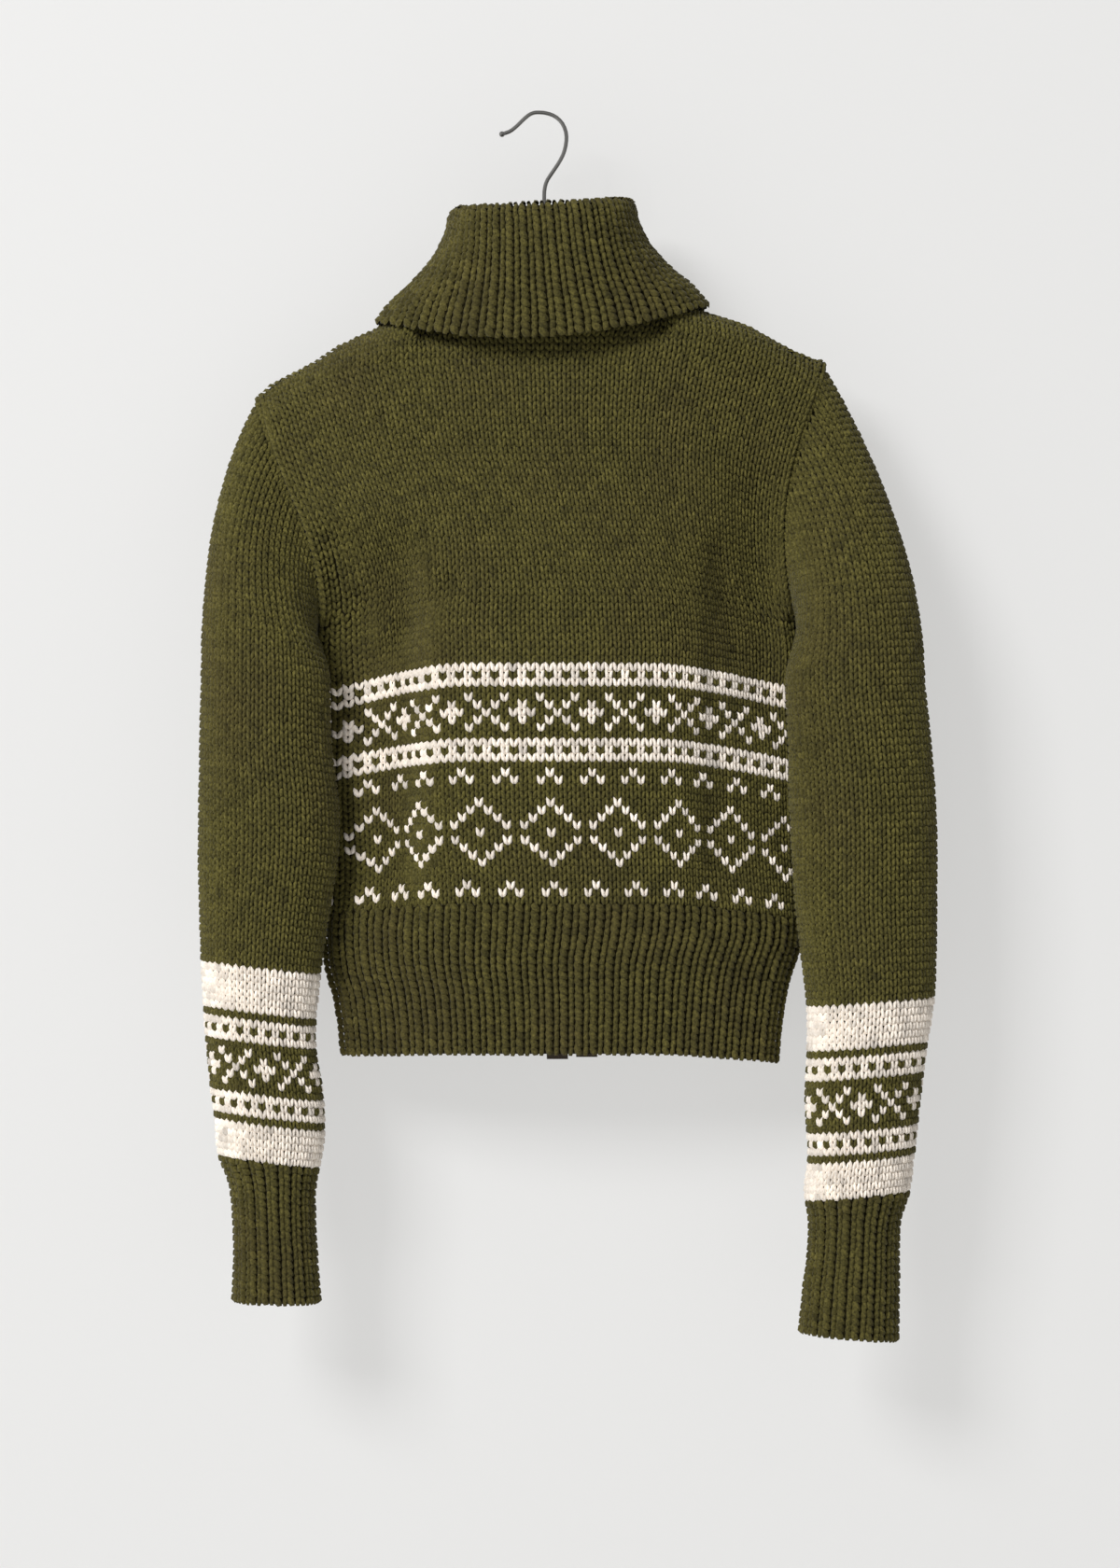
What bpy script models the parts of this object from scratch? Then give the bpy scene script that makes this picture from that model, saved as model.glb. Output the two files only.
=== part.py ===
"""A chunky knitted zip cardigan hanging on a hanger, seen from the back.

The garment's back faces -Y, +X is to the right and +Z is up. The origin is the inside top of the
hanger's hook, where a rail or a pin carries it. The tables below are in millimetres. "drop" is the
distance below the origin, so z = -drop.
"""

import math

import bpy
import numpy as np

MM = 0.001
SEAM = 0.3
ARMHOLE_SEAM = 0.7
CLOTH = 3.6
RIB_CLOTH = 4.4
RIB_RELIEF = 2.0

# Shoulders and neck, from shoulder tip to shoulder tip.
SHOULDER_X = (-192, -183, -155, -135, -112, -86, 97.5, 122, 148, 181, 201)
SHOULDER_DROP = (198.5, 190, 175.5, 162.5, 152, 138.5, 129.5, 140, 148.2, 166.4, 174.5)
NECK_LEFT, NECK_RIGHT = -86.0, 97.5
NECK_DIP_BACK, NECK_DIP_FRONT = 13.0, 68.0
NECK_DEPTH_BACK, NECK_DEPTH_FRONT, NECK_BEVEL, NECK_TURN = 32.0, 26.0, 1.3, 0.15
SHOULDER_ROUND = 22.0

# Armholes: drop of the shoulder tip and of the underarm, and half the depth of the opening.
ARMHOLE = {-1: (198.5, 358.0), 1: (174.5, 354.0)}
ARMHOLE_DEPTH = 24.0
SIDE_ROUND = 8.0
BULGE_POWER = 2.5
ARMHOLE_REACH, SWELL_MORE = 14, 25.0

RIB_TOP, HEM = 552.5, 657.5
# Rows of the panels, as shares of their length: close together over the shoulders.
PANEL_LEVELS = np.linspace(0, 1, 21) ** 1.8
RIB_LEVELS = np.linspace(0, 1, 4)
BACK_RIBS, FRONT_RIBS = 32, 16
CUFF_RIBS, COLLAR_RIBS = 20, 46

ZIP_TOP, ZIP_BOTTOM = 204.0, 659.5
ZIP_X_TOP, ZIP_X_BOTTOM = 8.0, 26.6
ZIP_OPENING = 6.0
TAPE_WIDTH, TAPE_THICK = 15.0, 1.2
CHAIN_HALF, CHAIN_THICK = 2.6, 2.8
SLIDER_DROP = 252.0
SLIDER_HALF, SLIDER_HEIGHT, SLIDER_PLATE = 4.5, 12.0, 2.6
BRIDGE_HALF_WIDTH, BRIDGE_HALF_HEIGHT, BRIDGE_BAR, BRIDGE_ROOM = 1.5, 3.5, 1.2, 3.0
PULL_HALF, PULL_LENGTH, PULL_THICK = 4.0, 26.0, 1.6
PULL_WINDOW_HALF, PULL_WINDOW = 2.1, 4.4

WIRE, BALL, STEM_X = 1.4, 2.1, 7.1
HANGER_ENDS = (-174.0, 184.0)
HANGER_HALF_DEPTH, HANGER_HALF_HEIGHT = 3.5, 8.0
HANGER_RISE, HANGER_UNDER = 3.0, 1.25


def table(names, *rows):
    """A table with named columns."""
    return dict(zip(names.split(), np.array(rows, float).T))


# The middle of the hook's wire, from its stem round to its ball. Its inside top is the origin.
HOOK = table(
    "x z",
    (7.1, -60), (7.3, -53), (8.9, -46.7), (12.5, -41), (17.2, -34), (20.8, -27), (22.6, -19),
    (22.3, -12), (19.4, -5.5), (14.2, -0.9), (8.5, 1.1), (4.2, 1.6), (0, 1.4), (-3.8, -0.3),
    (-8, -3.9), (-12.5, -8.3), (-16.8, -11.6), (-20.5, -13.0),
)

# The body at each level: left and right side seams, and how far its middle stands out at the back
# and at the front.
BODY = table(
    "drop left right back front",
    (130, -192, 201, 32, 26),
    (175, -192, 201, 33, 27),
    (198, -192, 194.5, 35, 28),
    (220, -185.5, 187, 37, 29),
    (243, -178.5, 180.5, 38, 30),
    (265, -170.5, 176, 40, 30),
    (285, -162, 174, 43, 31),
    (313, -153.5, 174.5, 46, 31),
    (340, -149.5, 178.5, 48, 31),
    (352, -149.3, 181, 48.5, 31),
    (370, -151.2, 184.5, 49.5, 31),
    (420, -150, 184.5, 50, 31),
    (500, -150, 186, 49, 30),
    (550, -147, 187, 46, 29),
    (583, -147, 186, 43, 28),
    (600, -145, 180, 39, 27),
    (618, -139.5, 175.5, 37, 26),
    (635, -136.5, 173, 36, 26),
    (664, -134, 170, 35, 26),
)

# Two soft vertical folds of the back. Beyond each one the cloth is set back by its step.
FOLDS = table("x step width", (-80, 18, 10), (119, 9, 6))
FOLD_TOP, FOLD_BOTTOM = 270.0, 575.0

# How much lower a row of stitches lies at the sides than in the middle.
ROW_DROOP = table(
    "drop left right",
    (130, 23, 16),
    (385, 20, 17),
    (552, 8, 7),
    (660, 2, 4),
)

# The sleeves and their cuffs at each level: outer and inner edge, and half their depth.
SLEEVES = {
    -1: table(
        "drop outer inner half",
        (400, -231, -142, 28),
        (445, -232, -141, 28.5),
        (486, -232.7, -136, 28.5),
        (519, -232.7, -136.5, 28),
        (547, -232.5, -140.5, 27.5),
        (604, -230.4, -149, 27),
        (653, -227.5, -152, 26),
        (680, -224.5, -148, 26),
        (705, -221.5, -145.8, 26),
        (727, -219, -147.5, 24.5),
        (747, -211.5, -152, 20.5),
        (773, -208.7, -152.8, 19.5),
        (797, -208, -151.5, 20),
        (834, -209.5, -148.5, 21),
    ),
    1: table(
        "drop outer inner half",
        (400, 271.5, 175.5, 29),
        (442, 276, 177, 29.5),
        (491, 279.5, 178.5, 29.5),
        (540, 280, 181, 29),
        (588, 279.5, 186, 28),
        (620, 278, 190, 27),
        (650, 273.5, 190.5, 26.5),
        (694, 268, 189, 26),
        (730, 264, 191, 25.5),
        (753, 261, 188.5, 24),
        (772, 255, 191.5, 20.5),
        (795, 253.5, 191, 20),
        (815, 253.5, 188.5, 20),
        (860, 253, 184, 21.5),
    ),
}
SLEEVE_MIDDLE_Y = -28.0
SLEEVE_JOIN = 400.0
# Where each cuff starts and ends, and how much lower its inner edge lies than its outer one.
CUFFS = {
    -1: table("drop slant", (731.5, 4.5), (829.5, 0.5)),
    1: table("drop slant", (755.5, 3.5), (853.5, -3.0)),
}

# The collar from its foot inside the neck, up the stand, over the fold and down the fall:
# half width and drop at the side, reach and drop at the back, reach and drop at the front.
COLLAR_CENTRE, COLLAR_TILT, COLLAR_LIFT = 5.75, 0.05, 0.6
COLLAR = table(
    "width side back back_drop front front_drop square",
    (91.75, 134.0, 32.1, 147.0, 26.1, 202.0, 2.0),
    (77.0, 120.0, 37.0, 128.0, 29.0, 180.0, 2.2),
    (63.0, 98.0, 46.0, 100.0, 37.0, 150.0, 2.5),
    (56.0, 78.0, 50.0, 80.0, 40.0, 131.0, 2.6),
    (57.0, 70.5, 51.5, 73.0, 41.5, 124.0, 2.6),
    (61.0, 65.5, 56.0, 69.0, 46.0, 119.5, 2.6),
    (65.0, 69.5, 60.5, 73.0, 50.5, 124.0, 2.6),
    (67.5, 80.0, 62.0, 82.0, 52.0, 133.0, 2.6),
    (75.5, 96.0, 62.0, 103.0, 54.0, 148.0, 2.4),
    (90.5, 113.0, 60.0, 125.0, 55.0, 166.0, 2.2),
    (105.5, 126.0, 57.0, 144.0, 55.0, 182.0, 2.1),
    (117.0, 139.5, 55.0, 160.5, 55.0, 197.0, 2.0),
)


def curve(at, places, values):
    """A smooth curve through a table's values."""
    places = np.asarray(places, float)
    values = np.asarray(values, float)
    slopes = np.gradient(values, places)
    at = np.clip(at, places[0], places[-1])
    k = np.clip(np.searchsorted(places, at) - 1, 0, len(places) - 2)
    step = places[k + 1] - places[k]
    t = (at - places[k]) / step
    rise = t * t * (3 - 2 * t)
    return (
        values[k] + (values[k + 1] - values[k]) * rise
        + step * (slopes[k] * t * (1 - t) ** 2 - slopes[k + 1] * t * t * (1 - t))
    )


def arch(t):
    """A quarter circle that starts upright at 0 and is level from 1 on."""
    return np.sqrt(1 - (1 - np.clip(t, 0, 1)) ** 2)


def ease(t):
    t = np.clip(t, 0, 1)
    return t * t * (3 - 2 * t)


def body_x(s, drop):
    """Across the body: s is -1 at the left side seam and 1 at the right one."""
    left = curve(drop, BODY["drop"], BODY["left"])
    right = curve(drop, BODY["drop"], BODY["right"])
    return (left + right) / 2 + s * (right - left) / 2


def neck_drop(x, front):
    """The shoulder line and the neck edge, by their place across."""
    neck = np.clip(2 * (x - NECK_LEFT) / (NECK_RIGHT - NECK_LEFT) - 1, -1, 1)
    dip = np.where(front, NECK_DIP_FRONT, NECK_DIP_BACK)
    return np.interp(x, SHOULDER_X, SHOULDER_DROP) + dip * (1 - neck ** 2)


def top_drop(s, front):
    """The top edge of a panel. Its place across depends on its level, so it is found in a few steps."""
    drop = 150.0 + 0 * s
    for _ in range(10):
        drop = neck_drop(body_x(s, drop), front)
    return drop


def armhole_depth(side, drop):
    tip, underarm = ARMHOLE[side]
    t = np.clip((drop - tip) / (underarm - tip), 0, 1)
    return ARMHOLE_DEPTH * np.sqrt(1 - (2 * t - 1) ** 2)


def armhole_swell(side, drop):
    """How far the cloth beside an armhole stands out: a softer swell than the opening's own edge."""
    tip, underarm = ARMHOLE[side]
    t = np.clip((drop - tip + SWELL_MORE) / (underarm - tip + 2 * SWELL_MORE), 0, 1)
    return ARMHOLE_DEPTH * np.sin(math.pi * t) ** 2


def body_depth(s, drop, front):
    """How far the outer face stands out from the plane of the side seams."""
    x = body_x(s, drop)
    side = np.where(s < 0, armhole_depth(-1, drop), armhole_depth(1, drop))
    beside = np.where(s < 0, armhole_swell(-1, drop), armhole_swell(1, drop))
    edge = beside + (side - beside) * np.abs(s) ** ARMHOLE_REACH
    side_round = SIDE_ROUND - (SIDE_ROUND - 3) * edge / ARMHOLE_DEPTH
    from_edge = (1 - np.abs(s)) * (body_x(1, drop) - body_x(-1, drop)) / 2
    middle = curve(drop, BODY["drop"], BODY["front" if front else "back"])
    depth = edge + side_round * arch(from_edge / side_round)
    depth = depth + (middle - edge - side_round) * (1 - np.abs(s) ** BULGE_POWER)
    if not front:
        reach = ease((drop - FOLD_TOP) / 80) * ease((FOLD_BOTTOM - drop) / 60)
        left = (1 - np.tanh((x - FOLDS["x"][0]) / FOLDS["width"][0])) / 2
        right = (1 + np.tanh((x - FOLDS["x"][1]) / FOLDS["width"][1])) / 2
        back_by = FOLDS["step"][0] * left + FOLDS["step"][1] * right
        depth = depth - reach * back_by * (1 - np.abs(s) ** 6)
    start = body_x(s, top_drop(s, front))
    neck = 2 * (start - NECK_LEFT) / (NECK_RIGHT - NECK_LEFT) - 1
    neck_depth = NECK_DEPTH_FRONT if front else NECK_DEPTH_BACK
    at_top = neck_depth * np.sqrt(np.clip(1 - neck ** 2, 0, 1))
    below = drop - top_drop(s, front)
    in_neck = ease((1 - np.abs(neck)) / 0.1)
    blend = in_neck * ease(below / 35) + (1 - in_neck) * arch(below / SHOULDER_ROUND)
    return at_top + (depth - at_top) * blend


def row_drop(s, drop):
    """The level of a row of stitches whose middle lies at drop."""
    side = np.where(
        s < 0,
        curve(drop, ROW_DROOP["drop"], ROW_DROOP["left"]),
        curve(drop, ROW_DROOP["drop"], ROW_DROOP["right"]),
    )
    return drop + side * np.clip((np.abs(s) - 0.4) / 0.6, 0, 1) ** 1.5


def body_point(s, drop, front):
    facing = 1 if front else -1
    y = facing * (SEAM / 2 + body_depth(s, drop, front))
    return np.stack([body_x(s, drop), y, -drop], axis=-1)


def along(points, fractions):
    """Points at equal shares of a line's length."""
    steps = np.linalg.norm(np.diff(points, axis=0), axis=1)
    length = np.concatenate([[0], np.cumsum(steps)])
    return np.stack(
        [np.interp(np.asarray(fractions) * length[-1], length, points[:, k]) for k in range(3)], axis=1
    )


def body_grid(upper, lower, columns, levels, front):
    """The back between two levels, its columns evenly spaced along each row."""
    s = -np.cos(np.linspace(0, math.pi, 160))
    first, last = upper(s), lower(s)
    grid = [
        along(body_point(s, first + (last - first) * v, front), np.linspace(0, 1, columns + 1))
        for v in levels
    ]
    return np.array(grid)


def grid_normals(grid, ring):
    across = np.gradient(grid, axis=1)
    if ring:
        across = (np.roll(grid, -1, axis=1) - np.roll(grid, 1, axis=1)) / 2
    down = np.gradient(grid, axis=0)
    normal = np.cross(down, across)
    return normal / np.linalg.norm(normal, axis=2, keepdims=True)


def thinned(count, step):
    """Every step-th index, with the last one kept."""
    return sorted(set(range(0, count, step)) | {count - 1})


class Solid:
    """Vertices and faces of one closed wall, in millimetres."""

    def __init__(self):
        self.points = []
        self.faces = []

    def add(self, points):
        first = len(self.points)
        self.points.extend(np.asarray(points, float).reshape(-1, 3).tolist())
        return np.arange(first, len(self.points))

    def skin(self, index, ring, flip):
        rows, columns = index.shape
        for i in range(rows - 1):
            for j in range(columns if ring else columns - 1):
                k = (j + 1) % columns
                face = [index[i, j], index[i, k], index[i + 1, k], index[i + 1, j]]
                self.faces.append(face[::-1] if flip else face)

    def strip(self, first, second):
        """The narrow face between two edges with different numbers of points."""
        i, j = 0, 0
        while i < len(first) - 1 or j < len(second) - 1:
            ahead = (i + 1) / max(len(first) - 1, 1)
            beside = (j + 1) / max(len(second) - 1, 1)
            if j == len(second) - 1 or (i < len(first) - 1 and ahead <= beside):
                self.faces.append([first[i + 1], first[i], second[j]])
                i += 1
            else:
                self.faces.append([second[j], second[j + 1], first[i]])
                j += 1

    def build(self, name, material, smooth=True):
        mesh = bpy.data.meshes.new(name)
        points = (np.array(self.points) * MM).tolist()
        mesh.from_pydata(points, [], [[int(k) for k in face] for face in self.faces])
        mesh.validate()
        mesh.update()
        if smooth:
            mesh.shade_smooth()
            mesh.set_sharp_from_angle(angle=math.radians(50))
        obj = bpy.data.objects.new(name, mesh)
        bpy.context.scene.collection.objects.link(obj)
        mesh.materials.append(material)
        return obj


def wall(name, outer, inner, ring, material, facing):
    """A closed wall between a finer outer face and a plainer inner one."""
    solid = Solid()
    a = solid.add(outer).reshape(outer.shape[:2])
    b = solid.add(inner).reshape(inner.shape[:2])
    solid.skin(a, ring, facing < 0)
    solid.skin(b, ring, facing > 0)
    edges = [(a[0], b[0]), (a[-1][::-1], b[-1][::-1])]
    if ring:
        edges = [(np.append(one, one[0]), np.append(two, two[0])) for one, two in edges]
        edges[1] = (
            np.append(a[-1][:1], a[-1][::-1]),
            np.append(b[-1][:1], b[-1][::-1]),
        )
    else:
        edges += [(a[:, -1], b[:, -1]), (a[::-1, 0], b[::-1, 0])]
    for one, two in edges:
        if facing < 0:
            solid.strip(one[::-1], two[::-1])
        else:
            solid.strip(one, two)
    return solid.build(name, material)


def square_ends(normals):
    """Level normals along the first and last rows, so that a piece ends flat against the next one."""
    normals = normals.copy()
    normals[[0, -1], :, 2] = 0
    return normals / np.linalg.norm(normals, axis=2, keepdims=True)


def ribbed(grid, normals, ribs, ring):
    """Ribs with rounded tops and narrow valleys, three columns to a rib."""
    columns = grid.shape[1] if ring else grid.shape[1] - 1
    per_rib = columns // ribs
    low = np.array([k % per_rib == 0 for k in range(grid.shape[1])])
    if not ring:
        low[-1] = True
    return grid - normals * (RIB_RELIEF * low)[None, :, None]


def own_side(grid, facing):
    """Keeps a panel on its own side of the side seams."""
    grid[..., 1] = facing * np.maximum(facing * grid[..., 1], SEAM / 2)
    return grid


def body_inner(grid, normals, front, thick, s_edges, sealed_top):
    """The inside of a panel. Its edges are square where they meet the next piece."""
    facing = 1 if front else -1
    n = normals.copy()
    n[-1, :, 2] = 0
    if not sealed_top:
        n[0, :, 2] = 0
    else:
        neck = 2 * (grid[0, :, 0] - NECK_LEFT) / (NECK_RIGHT - NECK_LEFT) - 1
        in_neck = ease((1 - np.abs(neck)) / NECK_TURN)
        n[0, :, 2] *= 1 - in_neck
        n[0, :, 1] *= in_neck
    for column, side in ((0, s_edges[0]), (-1, s_edges[1])):
        if side is None:
            n[:, column, 0] = 0
            continue
        tip, underarm = ARMHOLE[side]
        for i in range(len(grid)):
            drop = -grid[i, column, 2]
            if tip <= drop < underarm:
                t = np.clip((drop - tip) / (underarm - tip), 0, 1)
                angle = math.acos(1 - 2 * t)
                up = ARMHOLE_DEPTH * math.cos(angle)
                out = facing * math.sin(angle) * (underarm - tip) / 2
                n[i, column] = (0, out, up)
            else:
                n[i, column, 1] = 0
    n = n / np.linalg.norm(n, axis=2, keepdims=True)
    inside = own_side(grid - n * thick, facing)
    if sealed_top:
        inside[0, :, 2] -= NECK_BEVEL * in_neck
    for column, side in ((0, s_edges[0]), (-1, s_edges[1])):
        if side is None:
            continue
        tip, underarm = ARMHOLE[side]
        for i in range(len(grid)):
            if tip <= -grid[i, column, 2] < underarm:
                inside[i, column, 0] = body_x(side, -inside[i, column, 2])
    return inside


def zip_x(drop):
    share = (drop - ZIP_TOP) / (ZIP_BOTTOM - ZIP_TOP)
    return ZIP_X_TOP + (ZIP_X_BOTTOM - ZIP_X_TOP) * share


def zip_s(drop, offset):
    left, right = body_x(-1, drop), body_x(1, drop)
    return 2 * (zip_x(drop) + offset - left) / (right - left) - 1


def front_grid(side, upper, lower, columns, levels):
    """A front panel runs from the zip's opening to the side seam."""
    share = (1 - np.cos(np.linspace(0, math.pi, 120))) / 2
    grid = []
    for v in levels:
        s_zip = zip_s(400.0, side * ZIP_OPENING)
        for _ in range(6):
            level = upper(s_zip) + (lower(s_zip) - upper(s_zip)) * v
            s_zip = zip_s(level, side * ZIP_OPENING)
        s = s_zip + (side - s_zip) * share
        drop = upper(s) + (lower(s) - upper(s)) * v
        line = along(body_point(s, drop, True), np.linspace(0, 1, columns + 1))
        grid.append(line if side > 0 else line[::-1])
    return np.array(grid)


def body_panels(green, rib):
    """The back, both fronts and their ribbed hems."""

    def rib_top(s):
        return row_drop(s, RIB_TOP)

    def rib_start(s):
        return row_drop(s, RIB_TOP) + SEAM

    def hem(s):
        return row_drop(s, HEM)

    back = body_grid(lambda s: top_drop(s, False), rib_top, 40, PANEL_LEVELS, False)
    normals = grid_normals(back, False)
    inside = body_inner(back, normals, False, CLOTH, (-1, 1), True)
    rows, columns = thinned(len(back), 2), thinned(back.shape[1], 2)
    wall("back", back, inside[np.ix_(rows, columns)], False, green, -1)

    band = body_grid(rib_start, hem, BACK_RIBS * 3, RIB_LEVELS, False)
    normals = square_ends(grid_normals(band, False))
    inside = body_inner(band, normals, False, RIB_CLOTH, (-1, 1), False)
    columns = thinned(band.shape[1], 6)
    outside = own_side(ribbed(band, normals, BACK_RIBS, False), -1)
    wall("back_hem_rib", outside, inside[:, columns], False, rib, -1)

    for side, word in ((-1, "left"), (1, "right")):
        edges = (side, None) if side < 0 else (None, side)
        panel = front_grid(side, lambda s: top_drop(s, True), rib_top, 20, PANEL_LEVELS)
        normals = -grid_normals(panel, False)
        inside = body_inner(panel, normals, True, CLOTH, edges, True)
        rows, columns = thinned(len(panel), 2), thinned(panel.shape[1], 2)
        wall("front_" + word, panel, inside[np.ix_(rows, columns)], False, green, 1)

        band = front_grid(side, rib_start, hem, FRONT_RIBS * 3, RIB_LEVELS)
        normals = square_ends(-grid_normals(band, False))
        inside = body_inner(band, normals, True, RIB_CLOTH, edges, False)
        columns = thinned(band.shape[1], 6)
        outside = own_side(ribbed(band, normals, FRONT_RIBS, False), 1)
        wall("front_hem_rib_" + word, outside, inside[:, columns], False, rib, 1)


def sleeve_ring(side, angle, drop):
    """The sleeve or cuff at a level: angle 0 is its outer edge, and a quarter turn faces the back."""
    rows = SLEEVES[side]
    outer = curve(drop, rows["drop"], rows["outer"])
    inner = curve(drop, rows["drop"], rows["inner"])
    half = curve(drop, rows["drop"], rows["half"])
    x = (outer + inner) / 2 + (outer - inner) / 2 * np.cos(angle)
    y = SLEEVE_MIDDLE_Y - half * np.sin(angle)
    return np.stack([x, y, -drop], axis=-1)


def armhole_ring(side, angle, inset=0.0):
    """The armhole's edge, or the inside of the wall there."""
    tip, underarm = ARMHOLE[side]
    half = (underarm - tip) / 2
    out = np.stack([np.sin(angle) * half, np.cos(angle) * ARMHOLE_DEPTH], axis=-1)
    out = out / np.linalg.norm(out, axis=-1, keepdims=True) * inset
    drop = (tip + underarm) / 2 - half * np.cos(angle) + out[..., 1]
    y = -ARMHOLE_DEPTH * np.sin(angle) + out[..., 0]
    return np.stack([body_x(side, drop) + side * ARMHOLE_SEAM, y, -drop], axis=-1)


def cuff_level(side, which, angle):
    return CUFFS[side]["drop"][which] - CUFFS[side]["slant"][which] * np.cos(angle)


def sleeve_cap(side, angle, v):
    """From the armhole round and down to the hanging sleeve."""
    start = armhole_ring(side, angle)
    end = sleeve_ring(side, angle, np.full_like(angle, SLEEVE_JOIN))
    low = (1 - np.cos(angle)) / 2
    away = np.stack([side * (0.5 - 0.05 * low), -0.3 * np.sin(angle), -0.87 + 0.45 * low], axis=-1)
    reach = np.linalg.norm(end - start, axis=-1, keepdims=True)
    rise = v * v * (3 - 2 * v)
    return (
        start * (1 - rise) + end * rise
        + reach * away * v * (1 - v) ** 2
        + reach * np.array([0, 0, 1.0]) * v * v * (1 - v)
    )


def sleeve_angles(side):
    """The sleeve's columns start at the rows of the panels, so that the armhole's two edges match."""
    tip, underarm = ARMHOLE[side]
    drop = tip + (row_drop(np.float64(side), RIB_TOP) - tip) * PANEL_LEVELS
    drop = drop[drop < underarm - 1]
    back = np.arccos(1 - 2 * (drop - tip) / (underarm - tip))
    return np.concatenate([back, [math.pi], 2 * math.pi - back[:0:-1]])


def sleeves(green, rib):
    for side, word in ((-1, "left"), (1, "right")):
        angle = sleeve_angles(side)
        rings = [sleeve_cap(side, angle, v) for v in np.linspace(0, 1, 9)]
        foot = cuff_level(side, 0, angle)
        for v in np.linspace(0, 1, 12)[1:]:
            rings.append(sleeve_ring(side, angle, SLEEVE_JOIN + (foot - SLEEVE_JOIN) * v))
        grid = np.array(rings)
        normals = grid_normals(grid, True) * -side
        normals[-1, :, 2] = 0
        normals[-1] /= np.linalg.norm(normals[-1], axis=1, keepdims=True)
        inside = grid - normals * CLOTH
        inside[0] = armhole_ring(side, angle, CLOTH)
        rows = thinned(len(grid), 2)
        wall("sleeve_" + word, grid, inside[rows][:, ::2], True, green, side)

        angle = np.linspace(0, 2 * math.pi, CUFF_RIBS * 3, endpoint=False)
        top, foot = cuff_level(side, 0, angle) + SEAM, cuff_level(side, 1, angle)
        band = np.array([sleeve_ring(side, angle, top + (foot - top) * v) for v in np.linspace(0, 1, 5)])
        normals = square_ends(grid_normals(band, True) * -side)
        inside = (band - normals * RIB_CLOTH)[:, ::3]
        wall("cuff_" + word, ribbed(band, normals, CUFF_RIBS, True), inside, True, rib, side)


def collar_ring(row, share):
    """One ring of the collar. share runs from the zip round the left side, the back and the right."""
    width, side, back, back_drop, front, front_drop, square = row
    turn = np.linspace(-math.pi, math.pi, 361)
    power = 2 / square
    across = np.sign(np.sin(turn)) * np.abs(np.sin(turn)) ** power
    deep = np.sign(np.cos(turn)) * np.abs(np.cos(turn)) ** power
    x = COLLAR_CENTRE + width * across
    y = -np.where(deep > 0, back, front) * deep
    level = np.where(deep > 0, back_drop, front_drop)
    lower = np.where(deep > 0, np.cos(turn) ** 2, np.abs(np.cos(turn)) ** 3)
    drop = side + (level - side) * lower - COLLAR_TILT * (x - COLLAR_CENTRE)
    ring = np.stack([x, y, -drop], axis=1)
    gap = ZIP_OPENING / np.sum(np.linalg.norm(np.diff(ring, axis=0), axis=1))
    return along(ring, gap + (1 - 2 * gap) * np.asarray(share))


def collar(rib):
    share = np.linspace(0, 1, COLLAR_RIBS * 3 + 1)
    rows = np.array(list(COLLAR.values())).T
    grid = np.array([collar_ring(row, share) for row in rows])
    normals = grid_normals(grid, False)
    across = np.gradient(grid[0], axis=0)
    normals[0] = np.stack([-across[:, 1], across[:, 0], 0 * share], axis=1)
    normals[:, 0, 0] = 0
    normals[:, -1, 0] = 0
    normals /= np.linalg.norm(normals, axis=2, keepdims=True)
    grid[0, :, 2] = COLLAR_LIFT - neck_drop(grid[0, :, 0], grid[0, :, 1] > 0)
    grid[0] += normals[0] * RIB_CLOTH
    inside = (grid - normals * RIB_CLOTH)[:, thinned(grid.shape[1], 3)]
    wall("collar", ribbed(grid, normals, COLLAR_RIBS, False), inside, False, rib, -1)


def front_face(drop):
    """The outer face of the fronts beside the zip."""
    return float(body_point(np.array(zip_s(drop, ZIP_OPENING)), np.array(drop), True)[1])


def zip_strip(name, start, end, left, right, depth, thick, material, stations=14):
    """A flat strip that follows the zip's line. depth is under the outer face of the cloth."""
    solid = Solid()
    rings = []
    for drop in np.linspace(start, end, stations):
        x, y = zip_x(drop), front_face(drop) - depth
        rings.append([
            (x + left, y, -drop), (x + right, y, -drop),
            (x + right, y - thick, -drop), (x + left, y - thick, -drop),
        ])
    index = solid.add(rings).reshape(stations, 4)
    solid.skin(index, True, False)
    solid.faces.append(list(index[0][::-1]))
    solid.faces.append(list(index[-1]))
    return solid.build(name, material, smooth=False)


def box(name, low, high, origin=(0.0, 0.0, 0.0)):
    """A box between two corners. Its object's origin is put at origin, such as a joint's axis."""
    corners = [(x, y, z) for x in (0, 1) for y in (0, 1) for z in (0, 1)]
    solid = Solid()
    solid.add([[low[k] + (high[k] - low[k]) * c[k] - origin[k] for k in range(3)] for c in corners])
    solid.faces = [[0, 1, 3, 2], [4, 6, 7, 5], [0, 4, 5, 1], [2, 3, 7, 6], [0, 2, 6, 4], [1, 5, 7, 3]]
    obj = solid.build(name, metal(), smooth=False)
    obj.location = [value * MM for value in origin]
    return obj


def combined(main, others, operation):
    """Joins or cuts boxes. The helpers stay hidden beside the piece."""
    for other in others:
        other.hide_render = True
        other.display_type = "WIRE"
        other.hide_set(True)
        modifier = main.modifiers.new(other.name, "BOOLEAN")
        modifier.operation = operation
        modifier.object = other
    return main


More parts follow.
